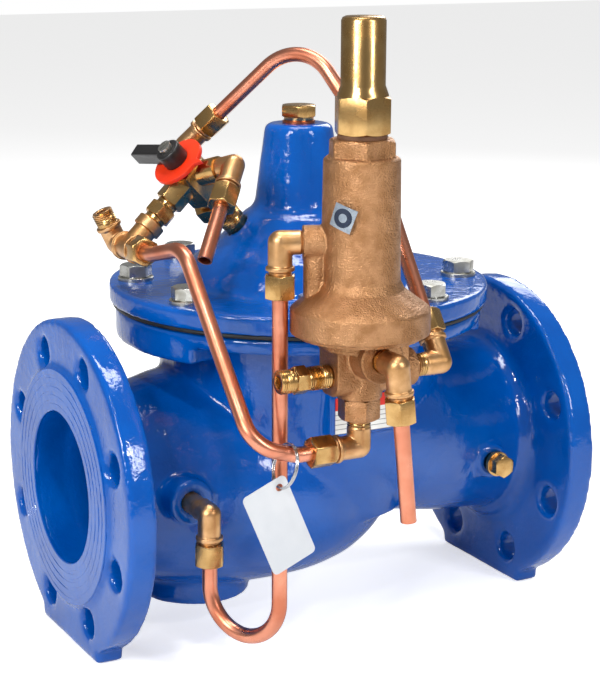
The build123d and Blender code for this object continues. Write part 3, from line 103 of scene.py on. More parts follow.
VALVE_MIDDLE = (0.15, -0.03, 0.05)
soft_lamp("key_lamp", (-1.35, -0.75, 0.95), VALVE_MIDDLE, 0.35, 0.9, 19)
soft_lamp("front_lamp", (0.75, -1.9, 1.0), VALVE_MIDDLE, 0.25, 0.6, 10)
soft_lamp("top_lamp", (0.25, 0.1, 1.5), VALVE_MIDDLE, 0.8, 0.3, 12)
soft_lamp("back_lamp", (1.5, 1.2, 1.1), VALVE_MIDDLE, 0.9, 0.9, 12)
soft_lamp("left_glint", (-1.2, -1.15, 1.15), VALVE_MIDDLE, 0.10, 0.24, 7)
soft_lamp("right_glint", (0.5, -1.75, 1.25), VALVE_MIDDLE, 0.22, 0.10, 6)
soft_lamp("high_glint", (-0.35, -0.55, 1.45), VALVE_MIDDLE, 0.10, 0.10, 6)

world = bpy.data.worlds.new("white_studio")
world.use_nodes = True
bpy.context.scene.world = world
backdrop = world.node_tree.nodes["Background"]
backdrop.inputs["Color"].default_value = (1, 1, 1, 1)
brighter_to_camera(world.node_tree, 0.24, 1.0, backdrop.inputs["Strength"])
bpy.context.scene.view_settings.view_transform = "Standard"

floor_mesh = bpy.data.meshes.new("floor")
half = FLOOR_SIZE / 2
floor_mesh.from_pydata([(-half, -half, FLOOR_Z), (half, -half, FLOOR_Z), (half, half, FLOOR_Z),
                        (-half, half, FLOOR_Z)], [], [(0, 1, 2, 3)])
floor = linked("floor", floor_mesh)
floor_paint = bpy.data.materials.new("pale_floor")
floor_paint.use_nodes = True
floor_shader = floor_paint.node_tree.nodes["Principled BSDF"]
for socket, value in (("Base Color", (0.86, 0.86, 0.86, 1)), ("Roughness", 0.9),
                      ("Emission Color", (1, 1, 1, 1))):
    floor_shader.inputs[socket].default_value = value
brighter_to_camera(floor_paint.node_tree, 0.10, 0.62, floor_shader.inputs["Emission Strength"])
floor.data.materials.append(floor_paint)

# ------------------------------------------------------------------ body casting
# Ductile iron globe body, cast with its two line flanges, feet, pad and bosses, then coated
# with thick blue fusion-bonded epoxy that rounds every edge and keeps a slight orange peel.
CAST_VOXEL = 0.0021
CAST_ROUNDING = 7           # passes that soften the cast edges
CAST_WAVE = 0.0005          # how far the skin wanders from true
BODY_TRIANGLES = 185000
BLUE = (0, 84, 172)
BLUE_THIN = (0, 74, 158)


def srgb(colour):
    """Display colour, 0 to 255, as the linear colour a shader takes."""
    part = [c / 255 for c in colour]
    return tuple(c / 12.92 if c <= 0.04045 else ((c + 0.055) / 1.055) ** 2.4 for c in part) + (1.0,)


def surface_group():
    """Unevenness that every finish shares: soft lumps, a finer grain, and large faint blotches."""
    group = bpy.data.node_groups.new("uneven_surface", "ShaderNodeTree")
    group.interface.new_socket("Vector", in_out="INPUT", socket_type="NodeSocketVector")
    for name, value in (("Lump Scale", 150.0), ("Grain Scale", 1200.0), ("Grain Share", 0.3),
                        ("Blotch Scale", 40.0)):
        group.interface.new_socket(name, in_out="INPUT", socket_type="NodeSocketFloat").default_value = value
    group.interface.new_socket("Height", in_out="OUTPUT", socket_type="NodeSocketFloat")
    group.interface.new_socket("Blotch", in_out="OUTPUT", socket_type="NodeSocketFloat")
    add, join = group.nodes.new, group.links.new
    given, out = add("NodeGroupInput"), add("NodeGroupOutput")
    noises = {}
    for name, detail in (("Lump", 2.0), ("Grain", 3.0), ("Blotch", 4.0)):
        noises[name] = add("ShaderNodeTexNoise")
        noises[name].inputs["Detail"].default_value = detail
        join(given.outputs["Vector"], noises[name].inputs["Vector"])
        join(given.outputs[name + " Scale"], noises[name].inputs["Scale"])
    both = add("ShaderNodeMix")
    join(given.outputs["Grain Share"], both.inputs[0])
    join(noises["Lump"].outputs[0], both.inputs[2])
    join(noises["Grain"].outputs[0], both.inputs[3])
    join(both.outputs[0], out.inputs["Height"])
    spread = add("ShaderNodeMapRange")
    spread.inputs["From Min"].default_value, spread.inputs["From Max"].default_value = 0.35, 0.65
    join(noises["Blotch"].outputs[0], spread.inputs["Value"])
    join(spread.outputs["Result"], out.inputs["Blotch"])
    return group


uneven = surface_group()


def finish(name, colour, other, rough, metallic=0.0, lump=150.0, grain=1200.0, share=0.3, blotch=40.0,
           relief=0.0002, coat=0.0, specular=0.5):
    """Material from two colours and two roughnesses that the blotches wander between."""
    made = bpy.data.materials.new(name)
    made.use_nodes = True
    add, join = made.node_tree.nodes.new, made.node_tree.links.new
    shader = made.node_tree.nodes["Principled BSDF"]
    shader.inputs["Metallic"].default_value = metallic
    shader.inputs["Coat Weight"].default_value = coat
    shader.inputs["Coat Roughness"].default_value = 0.06
    shader.inputs["Specular IOR Level"].default_value = specular
    where, skin = add("ShaderNodeTexCoord"), add("ShaderNodeGroup")
    skin.node_tree = uneven
    for socket, value in (("Lump Scale", lump), ("Grain Scale", grain), ("Grain Share", share),
                          ("Blotch Scale", blotch)):
        skin.inputs[socket].default_value = value
    join(where.outputs["Object"], skin.inputs["Vector"])
    tint = add("ShaderNodeMix")
    tint.name, tint.data_type = "tint", "RGBA"
    tint.inputs[6].default_value, tint.inputs[7].default_value = srgb(colour), srgb(other)
    join(skin.outputs["Blotch"], tint.inputs[0])
    join(tint.outputs[2], shader.inputs["Base Color"])
    shine = add("ShaderNodeMapRange")
    shine.inputs["To Min"].default_value, shine.inputs["To Max"].default_value = rough
    join(skin.outputs["Blotch"], shine.inputs["Value"])
    join(shine.outputs["Result"], shader.inputs["Roughness"])
    bump = add("ShaderNodeBump")
    bump.inputs["Distance"].default_value = relief
    join(skin.outputs["Height"], bump.inputs["Height"])
    join(bump.outputs["Normal"], shader.inputs["Normal"])
    return made


def new_piece(name, mesh, material, body, slot, *stood_for):
    """Mesh placed in the frame, painted, and joined to its body."""
    piece = linked(name, mesh)
    piece.data.materials.clear()
    piece.data.materials.append(material)
    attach(piece, body)
    if stood_for:
        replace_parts(piece, *stood_for)
    return piece


def repaint(material, *names):
    """Material for pieces that keep their CAD mesh."""
    for name in names:
        nodes[name].data.materials.clear()
        nodes[name].data.materials.append(material)


def merged_mesh(node):
    """Copy of a piece's mesh with its loose corners joined up."""
    mesh = nodes[node].data.copy()
    work = bmesh.new()
    work.from_mesh(mesh)
    bmesh.ops.remove_doubles(work, verts=work.verts, dist=2e-6)
    work.to_mesh(mesh)
    work.free()
    if mesh.has_custom_normals:
        mesh.attributes.remove(mesh.attributes["custom_normal"])
    return mesh


def shaped(mesh, steps):
    """Mesh after a list of (modifier type, settings), with nothing left live."""
    holder = linked("holder", mesh)
    for kind, settings in steps:
        step = holder.modifiers.new(kind, kind)
        for key, value in settings.items():
            setattr(step, key, value)
    made = bpy.data.meshes.new_from_object(holder.evaluated_get(bpy.context.evaluated_depsgraph_get()))
    bpy.data.objects.remove(holder)
    return made


def cast_mesh(node, voxel, rounding, wave, triangles):
    """Casting skin: the shape in fine even facets, its edges softened and its surface a little wavy."""
    clouds = bpy.data.textures.new(node + "_wave", "CLOUDS")
    clouds.noise_scale = 0.02
    mesh = shaped(merged_mesh(node), [
        ("REMESH", dict(mode="VOXEL", voxel_size=voxel, use_smooth_shade=True)),
        ("SMOOTH", dict(factor=0.5, iterations=rounding)),
        ("DISPLACE", dict(texture=clouds, texture_coords="LOCAL", strength=wave, mid_level=0.5))])
    count = sum(len(p.vertices) - 2 for p in mesh.polygons)
    if count > triangles:
        mesh = shaped(mesh, [("DECIMATE", dict(ratio=triangles / count))])
    for face in mesh.polygons:
        face.use_smooth = True
    return mesh


blue_epoxy = finish("blue_epoxy", BLUE, BLUE_THIN, (0.05, 0.09), lump=150, grain=620, share=0.2, blotch=22,
                    relief=0.00045, coat=0.0, specular=0.5)
new_piece("body_casting", cast_mesh("valve_body", CAST_VOXEL, CAST_ROUNDING, CAST_WAVE, BODY_TRIANGLES),
          blue_epoxy, "valve", "blue_epoxy", "valve_body")

# ------------------------------------------------------------------ raised faces
# The joint face of each line flange, turned flat after casting with four fine gasket grooves
# and coated with the same epoxy, so the grooves stay soft.
FACE_BORE_R, FACE_R, FACE_DEEP = 0.0502, 0.0781, 0.0045
FACE_PROUD = 0.00012
GROOVES, GROOVE_HALF, GROOVE_DEEP = 4, 0.0011, 0.0010
FIRST_GROOVE_R, LAST_GROOVE_R = 0.05616, 0.07296
COATED_EDGE = 0.0006
OUTLET_FACE_X = 0.350


def lathed(name, profile, start, way, steps=96, shade=35):
    """Closed profile of (radius, distance) turned about a line."""
    mesh, work = bpy.data.meshes.new(name), bmesh.new()
    turn = Vector(way).to_track_quat("Z", "Y").to_matrix().to_4x4()
    place = Matrix.Translation(start) @ turn
    rings = []
    for i in range(steps):
        a = 2 * pi * i / steps
        rings.append([work.verts.new(place @ Vector((r * cos(a), r * sin(a), z))) for r, z in profile])
    for i in range(steps):
        here, after = rings[i], rings[(i + 1) % steps]
        for j in range(len(profile)):
            k = (j + 1) % len(profile)
            work.faces.new((here[j], after[j], after[k], here[k]))
    bmesh.ops.remove_doubles(work, verts=work.verts, dist=1e-7)
    bmesh.ops.recalc_face_normals(work, faces=work.faces)
    work.to_mesh(mesh)
    work.free()
    return shaded(mesh, shade)


def shaded(mesh, degrees):
    """Smooth shading except across edges sharper than this."""
    mesh.shade_smooth()
    mesh.set_sharp_from_angle(angle=radians(degrees))
    return mesh


face_profile = [(FACE_BORE_R, -FACE_DEEP), (FACE_R, -FACE_DEEP), (FACE_R, FACE_PROUD - COATED_EDGE),
                (FACE_R - COATED_EDGE, FACE_PROUD)]
for i in range(GROOVES - 1, -1, -1):
    middle = FIRST_GROOVE_R + (LAST_GROOVE_R - FIRST_GROOVE_R) * i / (GROOVES - 1)
    face_profile += [(middle + GROOVE_HALF, FACE_PROUD), (middle + GROOVE_HALF * 0.5, -GROOVE_DEEP),
                     (middle - GROOVE_HALF * 0.5, -GROOVE_DEEP), (middle - GROOVE_HALF, FACE_PROUD)]
face_profile += [(FACE_BORE_R + COATED_EDGE, FACE_PROUD), (FACE_BORE_R, FACE_PROUD - COATED_EDGE)]
for name, start, way in (("inlet_raised_face", (0, 0, 0), (-1, 0, 0)),
                         ("outlet_raised_face", (OUTLET_FACE_X, 0, 0), (1, 0, 0))):
    new_piece(name, lathed(name, face_profile, start, way, 128), blue_epoxy, "valve", "blue_epoxy")

# ------------------------------------------------------------------ seat, stem and disc
# Stainless seat ring on an O-ring, and the spindle that rides in bronze bushes: disc, rubber
# seal and retainer below, spacer sleeve and two plates clamping the diaphragm above.
TURNED_EDGE = 0.0004


def machined_mesh(node, edge):
    """Machined piece: its flat faces joined, and every sharp edge broken by a small chamfer."""
    mesh = merged_mesh(node)
    work = bmesh.new()
    work.from_mesh(mesh)
    bmesh.ops.dissolve_limit(work, angle_limit=radians(0.6), verts=work.verts, edges=work.edges)
    work.to_mesh(mesh)
    work.free()
    mesh = shaped(mesh, [("BEVEL", dict(width=edge, segments=2, limit_method="ANGLE", angle_limit=radians(32),
                                        use_clamp_overlap=True)),
                         ("TRIANGULATE", {})])
    return shaded(mesh, 30)


def machined(node, material, body, slot, edge=TURNED_EDGE):
    """Stand-in for one machined piece."""
    return new_piece(node + "_finished", machined_mesh(node, edge), material, body, slot, node)


stainless = finish("stainless", (196, 198, 200), (176, 178, 182), (0.2, 0.34), 1.0, 300, 2600, 0.5, 60,
                   0.00003)
bush_bronze = finish("bronze", (176, 134, 82), (150, 108, 62), (0.25, 0.4), 1.0, 300, 2400, 0.5, 80, 0.00004)
black_rubber = finish("black_rubber", (26, 26, 27), (38, 38, 39), (0.5, 0.7), 0.0, 260, 2200, 0.6, 70,
                      0.00010)
repaint(stainless, "seat_ring", "valve_stem", "disc_retainer", "spacer_sleeve", "diaphragm_plate_lower",
        "diaphragm_plate_upper", "stem_nuts")
repaint(bush_bronze, "lower_guide_bush", "upper_guide_bush")
repaint(black_rubber, "seat_o_ring", "disc_seal")
cast_iron = finish("cast_iron_grey", (120, 120, 118), (92, 92, 90), (0.45, 0.6), 0.6, 200, 1500, 0.5, 60,
                   0.00015)
repaint(cast_iron, "valve_disc")


def painted_copy(name, node, material):
    """Free painted copy of a piece that bends or shortens as the valve works; the copy keeps its shape."""
    piece = linked(name, merged_mesh(node))
    piece.data.materials.clear()
    piece.data.materials.append(material)
    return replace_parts(piece, node)


diaphragm = painted_copy("main_diaphragm_rubber", "main_diaphragm", black_rubber)
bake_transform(diaphragm)

# ------------------------------------------------------------------ bonnet casting
# Domed iron cover with a tall neck, cast and coated like the body and bolted down on the
# diaphragm.
BONNET_VOXEL, BONNET_ROUNDING, BONNET_WAVE = 0.0016, 6, 0.0004
BONNET_TRIANGLES = 150000
new_piece("bonnet_casting", cast_mesh("bonnet", BONNET_VOXEL, BONNET_ROUNDING, BONNET_WAVE, BONNET_TRIANGLES),
          blue_epoxy, "valve", "blue_epoxy", "bonnet")

# ------------------------------------------------------------------ cover bolts and washers
# Eight zinc-plated hexagon bolts with plain washers hold the bonnet. The heads are chamfered
# on top, as forged heads are.
BOLTS, FIRST_BOLT_TURN = 8, radians(22.5)
HEAD_TURN_SPREAD = 2.6      # radians, as each head stops where it is tight
STEM_X = 0.175
BOLT_CIRCLE_R = 0.110
BOLT_AF, BOLT_HEAD = 0.0190, 0.0075
BOLT_SHANK_R, BOLT_SHANK = 0.0060, 0.0265
COLLAR_R, COLLAR_T = BOLT_AF / 2 * 0.97, 0.0006
WASHER_R, WASHER_T, WASHER_EDGE = 0.0120, 0.0025, 0.0004
WASHER_HOLE_R = BOLT_SHANK_R + 0.0005
COVER_TOP_Z = 0.124


def hexagon_mesh(name, across, length, steps=48):
    """Hexagon bolt head along +Z, with a round chamfer on its top."""
    mesh, work = bpy.data.meshes.new(name), bmesh.new()
    top_r, inner_r = across / 2 * 0.985, across * 0.1
    angles = [2 * pi * i / steps for i in range(steps)]
    flat = [across / 2 / cos((a % (pi / 3)) - pi / 6) for a in angles]
    rings = [[(r, 0.0) for r in flat], [(r, length - (r - top_r) * 0.55) for r in flat],
             [(top_r, length)] * steps, [(inner_r, length)] * steps]
    made = [[work.verts.new((r * cos(a), r * sin(a), z)) for a, (r, z) in zip(angles, ring)]
            for ring in rings]
    for low, high in zip(made, made[1:]):
        for i in range(steps):
            j = (i + 1) % steps
            work.faces.new((low[i], low[j], high[j], high[i]))
    work.faces.new(made[-1])
    work.faces.new(list(reversed(made[0])))
    bmesh.ops.recalc_face_normals(work, faces=work.faces)
    work.to_mesh(mesh)
    work.free()
    return shaded(mesh, 18)


def joined(name, parts):
    """One mesh from several (mesh, matrix) pairs."""
    mesh, work = bpy.data.meshes.new(name), bmesh.new()
    for part, place in parts:
        part = part.copy()
        part.transform(place)
        work.from_mesh(part)
    bmesh.ops.recalc_face_normals(work, faces=work.faces)
    work.to_mesh(mesh)
    work.free()
    return mesh


def open_tree(name, inputs):
    """Geometry Nodes tree with these inputs, and their identifiers by name."""
    tree = bpy.data.node_groups.new(name, "GeometryNodeTree")
    tree.interface.new_socket("Geometry", in_out="INPUT", socket_type="NodeSocketGeometry")
    ids = {title: tree.interface.new_socket(title, in_out="INPUT", socket_type=kind).identifier
           for title, kind in inputs}
    tree.interface.new_socket("Geometry", in_out="OUTPUT", socket_type="NodeSocketGeometry")
    return tree, ids


def painted_end(tree, given, geometry):
    """Last nodes of a tree: real geometry, in the material that it was given."""
    add, join = tree.nodes.new, tree.links.new
    real, paint = add("GeometryNodeRealizeInstances"), add("GeometryNodeSetMaterial")
    join(geometry, real.inputs["Geometry"])
    join(real.outputs["Geometry"], paint.inputs["Geometry"])
    join(given.outputs["Material"], paint.inputs["Material"])
    join(paint.outputs["Geometry"], add("NodeGroupOutput").inputs["Geometry"])


def ring_tree():
    """Geometry Nodes: copies of one object spaced round a flat circle, each turned a little."""
    tree, ids = open_tree("round_a_circle", (
        ("Copies", "NodeSocketInt"), ("Radius", "NodeSocketFloat"), ("Turn", "NodeSocketFloat"),
        ("Spread", "NodeSocketFloat"), ("Piece", "NodeSocketObject"), ("Material", "NodeSocketMaterial")))
    add, join = tree.nodes.new, tree.links.new
    given, circle = add("NodeGroupInput"), add("GeometryNodeMeshCircle")
    put, source = add("GeometryNodeInstanceOnPoints"), add("GeometryNodeObjectInfo")
    join(given.outputs["Copies"], circle.inputs["Vertices"])
    join(given.outputs["Radius"], circle.inputs["Radius"])
    join(given.outputs["Piece"], source.inputs["Object"])
    join(circle.outputs["Mesh"], put.inputs["Points"])
    join(source.outputs["Geometry"], put.inputs["Instance"])
    chance, turn = add("FunctionNodeRandomValue"), add("ShaderNodeCombineXYZ")
    chance.data_type = "FLOAT"
    chance.inputs["Seed"].default_value = 11
    join(given.outputs["Spread"], chance.inputs[3])
    join(chance.outputs[1], turn.inputs["Z"])
    join(turn.outputs[0], put.inputs["Rotation"])
    whole, aim = add("GeometryNodeTransform"), add("ShaderNodeCombineXYZ")
    join(given.outputs["Turn"], aim.inputs["Z"])
    join(aim.outputs[0], whole.inputs["Rotation"])
    join(put.outputs["Instances"], whole.inputs["Geometry"])
    painted_end(tree, given, whole.outputs["Geometry"])
    return tree, ids


circle_tree, circle_ids = ring_tree()


def grown(tree, ids, values, place):
    """Plain mesh from a Geometry Nodes tree with these inputs, moved into its place."""
    seed = linked("seed", bpy.data.meshes.new("seed"))
    step = seed.modifiers.new("grow", "NODES")
    step.node_group = tree
    for name, value in values.items():
        step[ids[name]] = value
    made = bpy.data.meshes.new_from_object(seed.evaluated_get(bpy.context.evaluated_depsgraph_get()))
    seed.modifiers.clear()
    bpy.data.objects.remove(seed)
    made.transform(place)
    return made


def spread_round(name, mesh, material, copies, radius, turn, spread, place):
    """Copies of a mesh round a circle, as one mesh."""
    pattern = linked(name + "_pattern", mesh)
    made = grown(circle_tree, circle_ids, {"Copies": copies, "Radius": radius, "Turn": turn, "Spread": spread,
                                           "Piece": pattern, "Material": material}, place)
    bpy.data.objects.remove(pattern)
    return shaded(made, 18)


zinc_steel = finish("zinc_steel", (200, 200, 196), (160, 158, 148), (0.22, 0.42), 1.0, 260, 2200, 0.5, 130,
                    0.00005)
bolt_head = hexagon_mesh("bolt_head", BOLT_AF, BOLT_HEAD)
bolt_collar = lathed("bolt_collar", [(0, 0), (COLLAR_R, 0), (COLLAR_R, COLLAR_T), (0, COLLAR_T)],
                     (0, 0, 0), (0, 0, 1), 48)
bolt_shank = lathed("bolt_shank", [(0, -BOLT_SHANK), (BOLT_SHANK_R, -BOLT_SHANK), (BOLT_SHANK_R, 0), (0, 0)],
                    (0, 0, 0), (0, 0, 1), 32)
bolt = joined("bolt", [(bolt_head, Matrix.Translation((0, 0, COLLAR_T))), (bolt_collar, Matrix()),
                       (bolt_shank, Matrix())])
washer = lathed("washer", [(WASHER_HOLE_R, 0), (WASHER_R, 0), (WASHER_R, WASHER_T - WASHER_EDGE),
                           (WASHER_R - WASHER_EDGE, WASHER_T), (WASHER_HOLE_R, WASHER_T)],
                (0, 0, 0), (0, 0, 1), 64)
new_piece("cover_bolts_finished",
          spread_round("bolts", bolt, zinc_steel, BOLTS, BOLT_CIRCLE_R, FIRST_BOLT_TURN, HEAD_TURN_SPREAD,
                       Matrix.Translation((STEM_X, 0, COVER_TOP_Z + WASHER_T))),
          zinc_steel, "valve", "zinc_steel", "cover_bolts")
new_piece("cover_washers_finished",
          spread_round("washers", washer, zinc_steel, BOLTS, BOLT_CIRCLE_R, FIRST_BOLT_TURN, 0.0,
                       Matrix.Translation((STEM_X, 0, COVER_TOP_Z))),
          zinc_steel, "valve", "zinc_steel", "cover_washers")

# ------------------------------------------------------------------ main spring, top plug and outlet plug
# A steel closing spring under the bonnet's roof. Brass hexagon plugs close the top of the neck,
# on a copper washer, and the test port on the outlet side.
spring_steel = finish("spring_steel", (112, 114, 120), (84, 86, 92), (0.3, 0.45), 1.0, 300, 2000, 0.5, 60,
                      0.00004)
brass = finish("machined_brass", (208, 170, 112), (178, 138, 84), (0.18, 0.30), 1.0, 210, 2600, 0.35, 95,
               0.00006)
copper_washer = finish("copper_washer", (206, 122, 88), (168, 92, 62), (0.25, 0.4), 1.0, 300, 2000, 0.5, 80,
                       0.00003)
low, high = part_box("main_spring")
closing_spring = painted_copy("main_spring_coil", "main_spring", spring_steel)
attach(closing_spring, "valve")
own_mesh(closing_spring)
repaint(copper_washer, "top_plug_gasket")
PLUG_EDGE = 0.0008
machined("top_plug", brass, "valve", "machined_brass", PLUG_EDGE)
machined("outlet_plug", brass, "valve", "machined_brass", PLUG_EDGE)

# ------------------------------------------------------------------ nameplate
# Thin printed aluminium plate, stuck to a pad on the body's near side. It is blank: a red
# header band over pale rows ruled with fine lines, and a rounded edge.
PLATE_ROWS, HEADER_FROM, RULE_SHARE = 5, 0.66, 0.14     # header from this share of the height up


def worked_out(tree, operation, first, second=0.0):
    """Result of a math node that takes a socket, and a number or another socket."""
    step = tree.nodes.new("ShaderNodeMath")
    step.operation = operation
    tree.links.new(first, step.inputs[0])
    if isinstance(second, float):
        step.inputs[1].default_value = second
    else:
        tree.links.new(second, step.inputs[1])
    return step.outputs[0]


def laid_over(tree, share, under, colour):
    """Colour laid over what is under it, where the share is one."""
    ink = tree.nodes.new("ShaderNodeMix")
    ink.data_type = "RGBA"
    ink.inputs[7].default_value = srgb(colour)
    tree.links.new(share, ink.inputs[0])
    tree.links.new(under, ink.inputs[6])
    return ink.outputs[2]


low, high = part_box("nameplate")
plate_paint = finish("label", (236, 236, 232), (222, 222, 218), (0.3, 0.42), 0.0, 200, 1500, 0.4, 70, 0.00003)
tree = plate_paint.node_tree
where, split, height = (tree.nodes.new(kind) for kind in ("ShaderNodeTexCoord", "ShaderNodeSeparateXYZ",
                                                          "ShaderNodeMapRange"))
tree.links.new(where.outputs["Object"], split.inputs[0])
height.inputs["From Min"].default_value, height.inputs["From Max"].default_value = low.z, high.z
tree.links.new(split.outputs["Z"], height.inputs["Value"])
header = worked_out(tree, "GREATER_THAN", height.outputs["Result"], HEADER_FROM)
rows = worked_out(tree, "MULTIPLY", height.outputs["Result"], PLATE_ROWS / HEADER_FROM)
rule = worked_out(tree, "LESS_THAN", worked_out(tree, "FRACT", rows), RULE_SHARE)
ruled = laid_over(tree, rule, tree.nodes["tint"].outputs[2], (120, 120, 120))
banded = laid_over(tree, header, ruled, (214, 44, 34))
tree.links.new(banded, tree.nodes["Principled BSDF"].inputs["Base Color"])
machined("nameplate", plate_paint, "valve", "label", 0.0003)

# ------------------------------------------------------------------ pilot body and its trim
# Sand-cast bronze block with four ports under the housing's bell. The seat, stem and poppet
# spring inside are held by a hexagon plug screwed in from below.
PILOT_VOXEL, PILOT_ROUNDING, PILOT_WAVE = 0.0006, 5, 0.00035
PILOT_TRIANGLES = 110000
bronze = finish("sand_cast_bronze", (184, 138, 98), (158, 114, 76), (0.30, 0.44), 0.95, 380, 950, 0.72, 120,
                0.00110)
new_piece("pilot_body_casting",
          cast_mesh("pilot_body", PILOT_VOXEL, PILOT_ROUNDING, PILOT_WAVE, PILOT_TRIANGLES),
          bronze, "valve", "sand_cast_bronze", "pilot_body")
machined("pilot_bottom_plug", bronze, "valve", "sand_cast_bronze", 0.0007)
repaint(stainless, "pilot_seat", "pilot_stem")
repaint(spring_steel, "pilot_poppet_spring")

# ------------------------------------------------------------------ pilot housing and cap
# Sand-cast bronze spring housing with a bell at its foot and a cast hexagon on top. A rubber
# diaphragm, spring and adjusting screw fill it, under a turned brass cap on a fibre gasket.
new_piece("pilot_housing_casting",
          cast_mesh("pilot_bonnet", PILOT_VOXEL, PILOT_ROUNDING, PILOT_WAVE, PILOT_TRIANGLES),
          bronze, "valve", "sand_cast_bronze", "pilot_bonnet")
fibre = finish("fibre_gasket", (118, 84, 60), (96, 66, 46), (0.6, 0.8), 0.0, 300, 2400, 0.6, 80, 0.0001)
repaint(black_rubber, "pilot_diaphragm")
repaint(brass, "pilot_diaphragm_plate")
repaint(zinc_steel, "spring_button")
repaint(fibre, "pilot_cap_gasket")
low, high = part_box("pilot_spring")
setting_spring = painted_copy("pilot_spring_coil", "pilot_spring", spring_steel)
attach(setting_spring, "valve")
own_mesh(setting_spring)
machined("adjusting_screw", zinc_steel, "adjusting_screw", "zinc_steel")
machined("lock_nut", zinc_steel, "valve", "zinc_steel")
machined("pilot_cap", brass, "pilot_cap", "machined_brass", 0.0010)

# ------------------------------------------------------------------ housing sticker
# Small square foil label wrapped on the housing's round side. It is blank but for a plain
# ring, and it sits a little askew, as a label stuck on by hand does.
PILOT_AXIS = Vector((0.125, -0.172, 0))
HOUSING_R = 0.0257
STICKER_WAY, STICKER_Z = radians(-144), 0.1976
STICKER_HALF, STICKER_T, STICKER_TILT = 0.0070, 0.00035, radians(-20)
STICKER_CELLS = 12
RING_INNER_R, RING_OUTER_R = 0.0026, 0.0056
sticker_mesh, sticker_work = bpy.data.meshes.new("housing_sticker"), bmesh.new()
grid = {}
for layer in (0, 1):
    radius = HOUSING_R + layer * STICKER_T
    for i in range(STICKER_CELLS + 1):
        for j in range(STICKER_CELLS + 1):
            u, v = ((2 * k / STICKER_CELLS - 1) * STICKER_HALF for k in (i, j))
            a = STICKER_WAY + (u * cos(STICKER_TILT) - v * sin(STICKER_TILT)) / radius
            up = u * sin(STICKER_TILT) + v * cos(STICKER_TILT)
            place = PILOT_AXIS + Vector((radius * cos(a), radius * sin(a), STICKER_Z + up))
            grid[layer, i, j] = sticker_work.verts.new(place)
    for i in range(STICKER_CELLS):
        for j in range(STICKER_CELLS):
            sticker_work.faces.new([grid[layer, i + x, j + y] for x, y in ((0, 0), (1, 0), (1, 1), (0, 1))])
steps = range(STICKER_CELLS)
edge = ([(i, 0) for i in steps] + [(STICKER_CELLS, j) for j in steps]
        + [(STICKER_CELLS - i, STICKER_CELLS) for i in steps] + [(0, STICKER_CELLS - j) for j in steps])
for (a, b), (c, d) in zip(edge, edge[1:] + edge[:1]):
    sticker_work.faces.new([grid[0, a, b], grid[0, c, d], grid[1, c, d], grid[1, a, b]])
bmesh.ops.recalc_face_normals(sticker_work, faces=sticker_work.faces)
sticker_work.to_mesh(sticker_mesh)
sticker_work.free()
foil = finish("foil_sticker", (176, 186, 196), (140, 152, 166), (0.22, 0.4), 0.85, 300, 2000, 0.4, 160,
              0.00003)
tree = foil.node_tree
where, away = tree.nodes.new("ShaderNodeTexCoord"), tree.nodes.new("ShaderNodeVectorMath")
away.operation = "DISTANCE"
ring_middle = Vector((HOUSING_R * cos(STICKER_WAY), HOUSING_R * sin(STICKER_WAY), STICKER_Z))
away.inputs[1].default_value = PILOT_AXIS + ring_middle
tree.links.new(where.outputs["Object"], away.inputs[0])
band = worked_out(tree, "MULTIPLY", worked_out(tree, "GREATER_THAN", away.outputs["Value"], RING_INNER_R),
                  worked_out(tree, "LESS_THAN", away.outputs["Value"], RING_OUTER_R))
inked = laid_over(tree, band, tree.nodes["tint"].outputs[2], (58, 66, 84))
tree.links.new(inked, tree.nodes["Principled BSDF"].inputs["Base Color"])
new_piece("housing_sticker", shaded(sticker_mesh, 40), foil, "valve", "label")

# ------------------------------------------------------------------ elbows, tee and their screw threads
# Hot-forged brass elbows and the tee, with softened edges where the dies met. Their pipe
# threads show where a leg isn't screwed fully home.
FORGED_VOXEL, FORGED_ROUNDING, FORGED_WAVE = 0.00048, 3, 0.0001
FORGED_TRIANGLES = 60000
THREAD_R, THREAD_PITCH, THREAD_RIDGE = 0.00668, 0.001337, 0.00052
forged_brass = finish("forged_brass", (218, 172, 124), (188, 142, 92), (0.30, 0.42), 1.0, 260, 1500, 0.5, 110,
                      0.00022)


def forged(node):
    """Stand-in for a forged piece."""
    mesh = cast_mesh(node, FORGED_VOXEL, FORGED_ROUNDING, FORGED_WAVE, FORGED_TRIANGLES)
    return new_piece(node + "_forging", mesh, forged_brass, "valve", "machined_brass", node)


def thread_tree():
    """Geometry Nodes: one helical ridge along +Z."""
    tree, ids = open_tree("thread_ridge", (
        ("Radius", "NodeSocketFloat"), ("Pitch", "NodeSocketFloat"), ("Length", "NodeSocketFloat"),
        ("Ridge", "NodeSocketFloat"), ("Material", "NodeSocketMaterial")))
    add, join = tree.nodes.new, tree.links.new
    given, turns, spiral = add("NodeGroupInput"), add("ShaderNodeMath"), add("GeometryNodeCurveSpiral")
    section, sweep = add("GeometryNodeCurvePrimitiveCircle"), add("GeometryNodeCurveToMesh")
    turns.operation = "DIVIDE"
    join(given.outputs["Length"], turns.inputs[0])
    join(given.outputs["Pitch"], turns.inputs[1])
    join(turns.outputs[0], spiral.inputs["Rotations"])
    join(given.outputs["Radius"], spiral.inputs["Start Radius"])
    join(given.outputs["Radius"], spiral.inputs["End Radius"])
    join(given.outputs["Length"], spiral.inputs["Height"])
    spiral.inputs["Resolution"].default_value = 40
    section.inputs["Resolution"].default_value = 3
    join(given.outputs["Ridge"], section.inputs["Radius"])
    join(spiral.outputs["Curve"], sweep.inputs["Curve"])
    join(section.outputs["Curve"], sweep.inputs["Profile Curve"])
    sweep.inputs["Fill Caps"].default_value = True
    painted_end(tree, given, sweep.outputs["Mesh"])
    return tree, ids


ridge_tree, ridge_ids = thread_tree()


